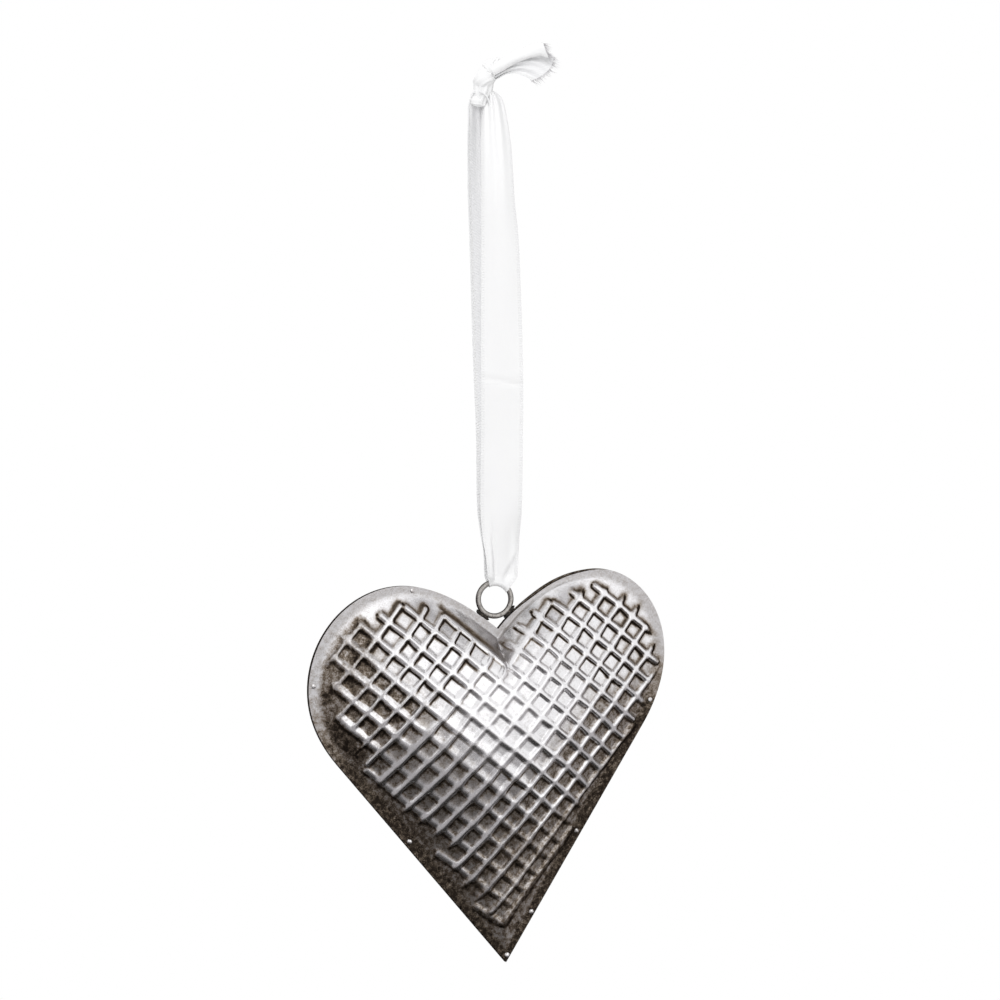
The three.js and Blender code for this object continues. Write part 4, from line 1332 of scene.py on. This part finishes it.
class ORNAMENT_OT_loop(bpy.types.Operator):
    """Build the ribbon loop: two upper strands, and the lower strip that passes through the ring"""

    bl_idname = "ornament.loop"
    bl_label = "Ribbon loop"

    def execute(self, context):
        ribbon = context.scene.ribbon_sizes
        material = satin_finish(context.scene.finishes)
        heights = np.linspace(STRAND_TOP, STRAND_SPLIT, UPPER_ROWS) * MM
        for name, side in (("front", -1), ("back", 1)):
            middle = strand_surface(side, heights, RIBBON_COLUMNS, ribbon)
            strand = put_ribbon(f"ribbon_{name}_upper", middle, -side * SATIN_FACING, ribbon, material)
            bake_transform(strand)
            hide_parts(f"ribbon_{name}_strand")
        middle = bight_surface(ribbon, context.scene.heart_sizes, RIBBON_COLUMNS)
        strip = put_ribbon("ribbon_lower", middle, SATIN_FACING, ribbon, material)
        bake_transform(strip)
        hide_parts("ribbon_ring_fold")
        return {"FINISHED"}


# The knot and its tails


def satin_place(sideways, height, forward):
    """Points in the plane of the satin face, in millimetres, as points of the frame."""
    a, h, f = (part[..., None] for part in np.broadcast_arrays(sideways, height, forward))
    return (a * SATIN_ACROSS + h * UPWARD + f * SATIN_FACING) * MM


def knot_core():
    """The bundle inside the knot: a spindle along a leaning line, fluted by gathered pleats."""
    line = smooth_rows(KNOT_CORE, TAIL_ROWS)
    spin = full_turn(CORE_SIDES)[None, :]
    along = np.linspace(0, 1, TAIL_ROWS)[:, None]
    size, flutes, twist = CORE_FLUTES
    radius = line[:, 2:] * (1 + size * np.cos(flutes * spin + twist * along))
    radius[[0, -1]] = CORE_PINCH
    sideways = line[:, :1] + radius * np.cos(spin)
    return satin_place(sideways, line[:, 1:2], FLATTENED * radius * np.sin(spin))


def knot_turn(sideways, height, radius, tube, stretch, lean):
    """One turn of ribbon round the bundle: a torus, stretched upwards and leaned, with pleats along it."""
    large = full_turn(KNOT_TURN_STEPS)[:, None]
    small = full_turn(KNOT_TURN_SIDES)[None, :]
    size, count, sway = COARSE_PLEATS
    pleats = size * np.cos(count * small + sway * np.sin(large))
    size, count = FINE_PLEATS
    pleats = pleats + size * np.cos(count * small - large)
    thick = tube * (1 + pleats)
    reach = radius + thick * np.cos(small)
    x = reach * np.cos(large)
    y = reach * np.sin(large)
    z = stretch * thick * np.sin(small) + KNOT_TURN_SWAY * np.sin(large + lean)
    angle = math.radians(lean)
    a = sideways + x * math.cos(angle) + z * math.sin(angle)
    h = height - x * math.sin(angle) + z * math.cos(angle)
    points = satin_place(a, h, -y).reshape(-1, 3)
    return points, as_triangles(grid_quads(KNOT_TURN_STEPS, KNOT_TURN_SIDES, around=True, closed=True))


def upper_tail():
    """The rolled tail: a spiral of a little over one turn carried along a curve in the satin plane.

    The spiral's radius waves like a sine and tightens at its end, and the cut end is slanted by a cube.
    """
    line = smooth_rows(UPPER_TAIL, TAIL_ROWS)
    slope = unit_rows(np.gradient(line[:, :2], axis=0))
    along = np.linspace(0, 1, TAIL_ROWS)[:, None]
    share = np.linspace(0, 1, ROLL_COLUMNS)[None, :]
    arc = np.radians(ROLL_START + ROLL_SWEEP * share)
    size, by_arc, by_row = ROLL_WAVE
    radius = line[:, 2:] * (1 + size * np.sin(by_arc * arc + by_row * along))
    radius = radius * (1 - ROLL_TIGHTER * smoothstep(share, *ROLL_TIGHT_SPAN))
    up = radius * np.sin(arc)
    short = ROLL_CUT * along**3 * (1 + np.sin(arc))
    sideways = line[:, :1] - slope[:, 1:] * up - slope[:, :1] * short
    height = line[:, 1:2] + slope[:, :1] * up - slope[:, 1:] * short
    return satin_place(sideways, height, ROLL_FORWARD + FLATTENED * radius * np.cos(arc))


def lower_tail():
    """The fanned tail: threads between two edge curves, with cosine pleats near the knot.

    It arches forwards by a sine, leans forwards at its lower edge, and is round at the cut.
    """
    under = smooth_rows(LOWER_TAIL_UNDER, TAIL_ROWS)[:, None, :]
    over = smooth_rows(LOWER_TAIL_OVER, TAIL_ROWS)[:, None, :]
    share = np.linspace(0, 1, FAN_COLUMNS)[None, :]
    along = np.linspace(0, 1, TAIL_ROWS)[:, None]
    belly = np.sin(math.pi * share)
    flat = under + (over - under) * share[..., None] + (belly * along**4)[..., None] * FAN_CUT
    pleat = FAN_PLEAT * (1 - FAN_PLEAT_FADE * along) * np.cos(FAN_PLEATS * math.pi * share)
    size, rate = FAN_SWAY
    arch = FAN_ARCH * belly * (1 - FAN_ARCH_FADE * along) - FAN_ARCH + size * np.sin(rate * along)
    lean = FAN_LEAN * (1 - share) * along
    return satin_place(flat[..., 0], flat[..., 1], arch + pleat + lean)


def loose_threads(middle, count, seed):
    """Loose threads at a cut end: thin three-sided spikes that go on from the last rows and stray."""
    each = np.arange(count)
    pick = scatter(each + seed) * (middle.shape[1] - 1)
    low = np.minimum(pick.astype(int), middle.shape[1] - 2)
    share = (pick - low)[:, None]
    root, tip = (middle[row, low] * (1 - share) + middle[row, low + 1] * share for row in (-2, -1))
    onward = unit_rows(tip - root)
    stray = np.stack([scatter(each * 3 + k + seed) - 0.5 for k in range(3)], axis=1)
    length = (THREAD_SHORT + THREAD_LONGER * scatter(each * 7 + seed) ** 2)[:, None] * MM
    end = tip + (onward + THREAD_STRAY * stray) * length
    side = unit_rows(np.cross(onward, stray))
    rise = np.cross(onward, side)
    spin = full_turn(THREAD_SIDES)[None, :, None]
    ring = THREAD_RADIUS * MM * (np.cos(spin) * side[:, None] + np.sin(spin) * rise[:, None])
    points = np.concatenate((root[:, None] + ring, tip[:, None] + ring, end[:, None]), axis=1)
    wall = as_triangles(grid_quads(2, THREAD_SIDES, around=True))
    faces = outward(points[0], np.concatenate((wall, ((3, 4, 6), (4, 5, 6), (5, 3, 6), (2, 1, 0)))))
    numbers = each[:, None, None] * points.shape[1] + faces
    return points.reshape(-1, 3), numbers.reshape(-1, 3)


class ORNAMENT_OT_knot(bpy.types.Operator):
    """Build the knot, its two tails and their loose threads"""

    bl_idname = "ornament.knot"
    bl_label = "Knot and tails"

    def execute(self, context):
        ribbon = context.scene.ribbon_sizes
        material = bpy.data.materials["white_satin"]
        points, faces = joined([closed_body(knot_core())] + [knot_turn(*turn) for turn in KNOT_TURNS])
        uv = points[:, (0, 2)] / ribbon.width
        dull = np.zeros(len(points))
        knot = put_piece("ribbon_knot_turns", points, faces, material, "satin_ribbon", uv=uv, dull=dull)
        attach(knot, "knot")
        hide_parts("ribbon_knot")
        thread = thread_finish(context.scene.finishes)
        for name, middle, flip in (("upper", upper_tail(), False), ("lower", lower_tail(), True)):
            tail = put_ribbon(f"tail_{name}", middle, SATIN_FACING, ribbon, material, flip)
            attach(tail, "knot")
            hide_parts(f"ribbon_tail_{name}")
            points, faces = loose_threads(middle, ribbon.threads, THREAD_SEEDS[name])
            fray = put_piece(f"tail_{name}_threads", points, faces, thread, "satin_ribbon")
            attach(fray, "knot")
        return {"FINISHED"}


# The stage


def light_path_white(tree, plain):
    """World colour: white where the camera, a reflection or glass looks, and plain for soft light."""
    path = tree.nodes.new("ShaderNodeLightPath")
    seen = path.outputs["Is Camera Ray"]
    for name in ("Is Glossy Ray", "Is Transmission Ray"):
        either = tree.nodes.new("ShaderNodeMath")
        either.operation = "MAXIMUM"
        tree.links.new(seen, either.inputs[0])
        tree.links.new(path.outputs[name], either.inputs[1])
        seen = either.outputs[0]
    mixed = tree.nodes.new("ShaderNodeMix")
    mixed.data_type = "RGBA"
    tree.links.new(seen, mixed.inputs[0])
    mixed.inputs[6].default_value = with_alpha(plain)
    mixed.inputs[7].default_value = WHITE
    return mixed.outputs[2]


def put_stage(name, points, faces, material):
    """A mesh that belongs to the stage."""
    mesh = bpy.data.meshes.new(name)
    mesh.from_pydata(points.reshape(-1, 3).tolist(), [], faces)
    mesh.materials.append(material)
    made = bpy.data.objects.new(name, mesh)
    bpy.context.scene.collection.objects.link(made)
    return made


def stage_floor(centre, height, radius):
    """A pale round floor: circles of points round a centre, fading to white at its edge."""
    reach = np.linspace(HUB, 1, FLOOR_RINGS)[:, None] * radius
    spin = full_turn(FLOOR_SIDES)[None, :]
    x = centre[0] + reach * np.cos(spin)
    y = centre[1] + reach * np.sin(spin)
    points = np.stack((x, y, np.full(x.shape, height)), axis=-1)
    quads = grid_quads(FLOOR_RINGS, FLOOR_SIDES, around=True)[:, ::-1]
    shader = Shader("pale_floor")
    shader.shade(Base_Color=(0.86, 0.86, 0.86, 1), Roughness=0.9, Specular_IOR_Level=0.1)
    white = shader.node("ShaderNodeEmission", {"Color": WHITE, "Strength": 1.0})
    path = shader.node("ShaderNodeLightPath").outputs["Is Camera Ray"]
    away = shader.node("ShaderNodeVectorMath", {0: shader.place()}, operation="LENGTH").outputs["Value"]
    share = shader.times(path, shader.span(away, FLOOR_FADE[0] * radius, FLOOR_FADE[1] * radius))
    mixed = shader.node("ShaderNodeMixShader", {0: share, 1: shader.surface.outputs[0], 2: white.outputs[0]})
    shader.tree.links.new(mixed.outputs[0], shader.tree.nodes["Material Output"].inputs["Surface"])
    put_stage("stage_floor", points, quads.tolist() + [list(range(FLOOR_SIDES))], shader.material)


def shade_bowl(centre, radius):
    """A dark studio bowl and lid that only the metal mirrors: the parts of a sphere outside two elevations.

    The bowl's limit is low before and behind the ornament and rises at both sides with the fourth power of a
    sine. The lid covers the right of the zenith. Grey felt turns black towards the nadir.
    """
    spin = full_turn(BOWL_SIDES)[None, :]
    limit = np.radians(BOWL_LOW + BOWL_RISE * np.sin(spin - math.radians(BOWL_SKEW)) ** 4)
    share = np.linspace(HUB, 1, BOWL_RINGS)[:, None]
    bowl_rise = -math.pi / 2 + share * (limit + math.pi / 2)
    lid_rise = math.pi / 2 - share * np.radians(LID_REACH) * smoothstep(np.sin(spin), *LID_SIDE)
    rise = np.concatenate((bowl_rise, lid_rise))
    x = centre[0] + radius * np.cos(rise) * np.sin(spin)
    y = centre[1] - radius * np.cos(rise) * np.cos(spin)
    z = centre[2] + radius * np.sin(rise)
    quads = grid_quads(BOWL_RINGS, BOWL_SIDES, around=True)
    quads = np.concatenate((quads, quads + BOWL_RINGS * BOWL_SIDES))
    shader = Shader("dark_felt")
    begin, end = (centre[2] - drop * radius for drop in FELT_SPAN)
    nadir = shader.span(shader.part(shader.place(), "Z"), begin, end)
    colour = shader.blend(nadir, (0.5, 0.485, 0.49, 1), (0.03, 0.028, 0.026, 1))
    shader.shade(Base_Color=colour, Roughness=1.0, Specular_IOR_Level=0.0)
    bowl = put_stage("shade_bowl", np.stack((x, y, z), axis=-1), quads.tolist(), shader.material)
    bowl.visible_camera = False
    bowl.visible_diffuse = False
    bowl.visible_shadow = False
    bowl.visible_transmission = False


def put_aimed(name, data, azimuth, elevation, distance, target):
    """A camera or lamp at an azimuth and elevation in degrees that faces a target."""
    a = math.radians(azimuth)
    e = math.radians(elevation)
    back = Vector((math.sin(a) * math.cos(e), -math.cos(a) * math.cos(e), math.sin(e)))
    made = bpy.data.objects.new(name, data)
    made.location = target + back * distance
    made.rotation_mode = "QUATERNION"
    made.rotation_quaternion = back.to_track_quat("Z", "Y")
    bpy.context.scene.collection.objects.link(made)
    return made


class ORNAMENT_OT_stage(bpy.types.Operator):
    """Set the camera, the white world, the soft lamps, the pale floor and the dark bowl"""

    bl_idname = "ornament.stage"
    bl_label = "Stage"

    def execute(self, context):
        scene = context.scene
        scene.view_settings.view_transform = "Standard"
        view = bpy.data.cameras.new("photo_view")
        view.sensor_width = SENSOR_WIDTH
        view.lens = SENSOR_WIDTH * VIEW_DISTANCE / VIEW_WIDTH
        scene.camera = put_aimed("photo_view", view, VIEW_AZIMUTH, VIEW_ELEVATION, VIEW_DISTANCE, VIEW_TARGET)
        world = bpy.data.worlds.new("white_studio")
        world.use_nodes = True
        scene.world = world
        colour = light_path_white(world.node_tree, WORLD_GREY)
        world.node_tree.links.new(colour, world.node_tree.nodes["Background"].inputs["Color"])
        heart = Vector((CROWN[0], 0, CROWN[1])) * MM
        for name, (azimuth, elevation, distance, size, power, mirrored) in LAMPS.items():
            light = bpy.data.lights.new(name, "AREA")
            light.size = size
            light.energy = power
            put_aimed(name, light, azimuth, elevation, distance, heart).visible_glossy = mirrored
        stage_floor((0, 0), CAD_BOX[0][2] - FLOOR_DROP, FLOOR_RADIUS)
        shade_bowl(heart, BOWL_RADIUS)
        return {"FINISHED"}


class ORNAMENT_PT_panel(bpy.types.Panel):
    """The ornament's steps and sizes in the sidebar"""

    bl_label = "Waffle Heart"
    bl_idname = "ORNAMENT_PT_panel"
    bl_space_type = "VIEW_3D"
    bl_region_type = "UI"
    bl_category = "Ornament"

    def draw(self, context):
        for step in STEPS:
            self.layout.operator(step.bl_idname)
        for group in (context.scene.heart_sizes, context.scene.ribbon_sizes, context.scene.finishes):
            box = self.layout.box()
            for name in group.__annotations__:
                box.prop(group, name)


GROUPS = {"heart_sizes": HeartSizes, "ribbon_sizes": RibbonSizes, "finishes": Finishes}
STEPS = (
    ORNAMENT_OT_stage,
    ORNAMENT_OT_heart,
    ORNAMENT_OT_ring,
    ORNAMENT_OT_welds,
    ORNAMENT_OT_loop,
    ORNAMENT_OT_knot,
)


def register():
    for name, group in GROUPS.items():
        bpy.utils.register_class(group)
        setattr(bpy.types.Scene, name, PointerProperty(type=group))
    for step in (*STEPS, ORNAMENT_PT_panel):
        bpy.utils.register_class(step)


def unregister():
    for step in (ORNAMENT_PT_panel, *reversed(STEPS)):
        bpy.utils.unregister_class(step)
    for name, group in GROUPS.items():
        delattr(bpy.types.Scene, name)
        bpy.utils.unregister_class(group)


def main():
    """Registers the classes and runs each step."""
    register()
    for step in STEPS:
        getattr(bpy.ops.ornament, step.bl_idname.split(".")[1])()


if __name__ == "__main__":
    main()
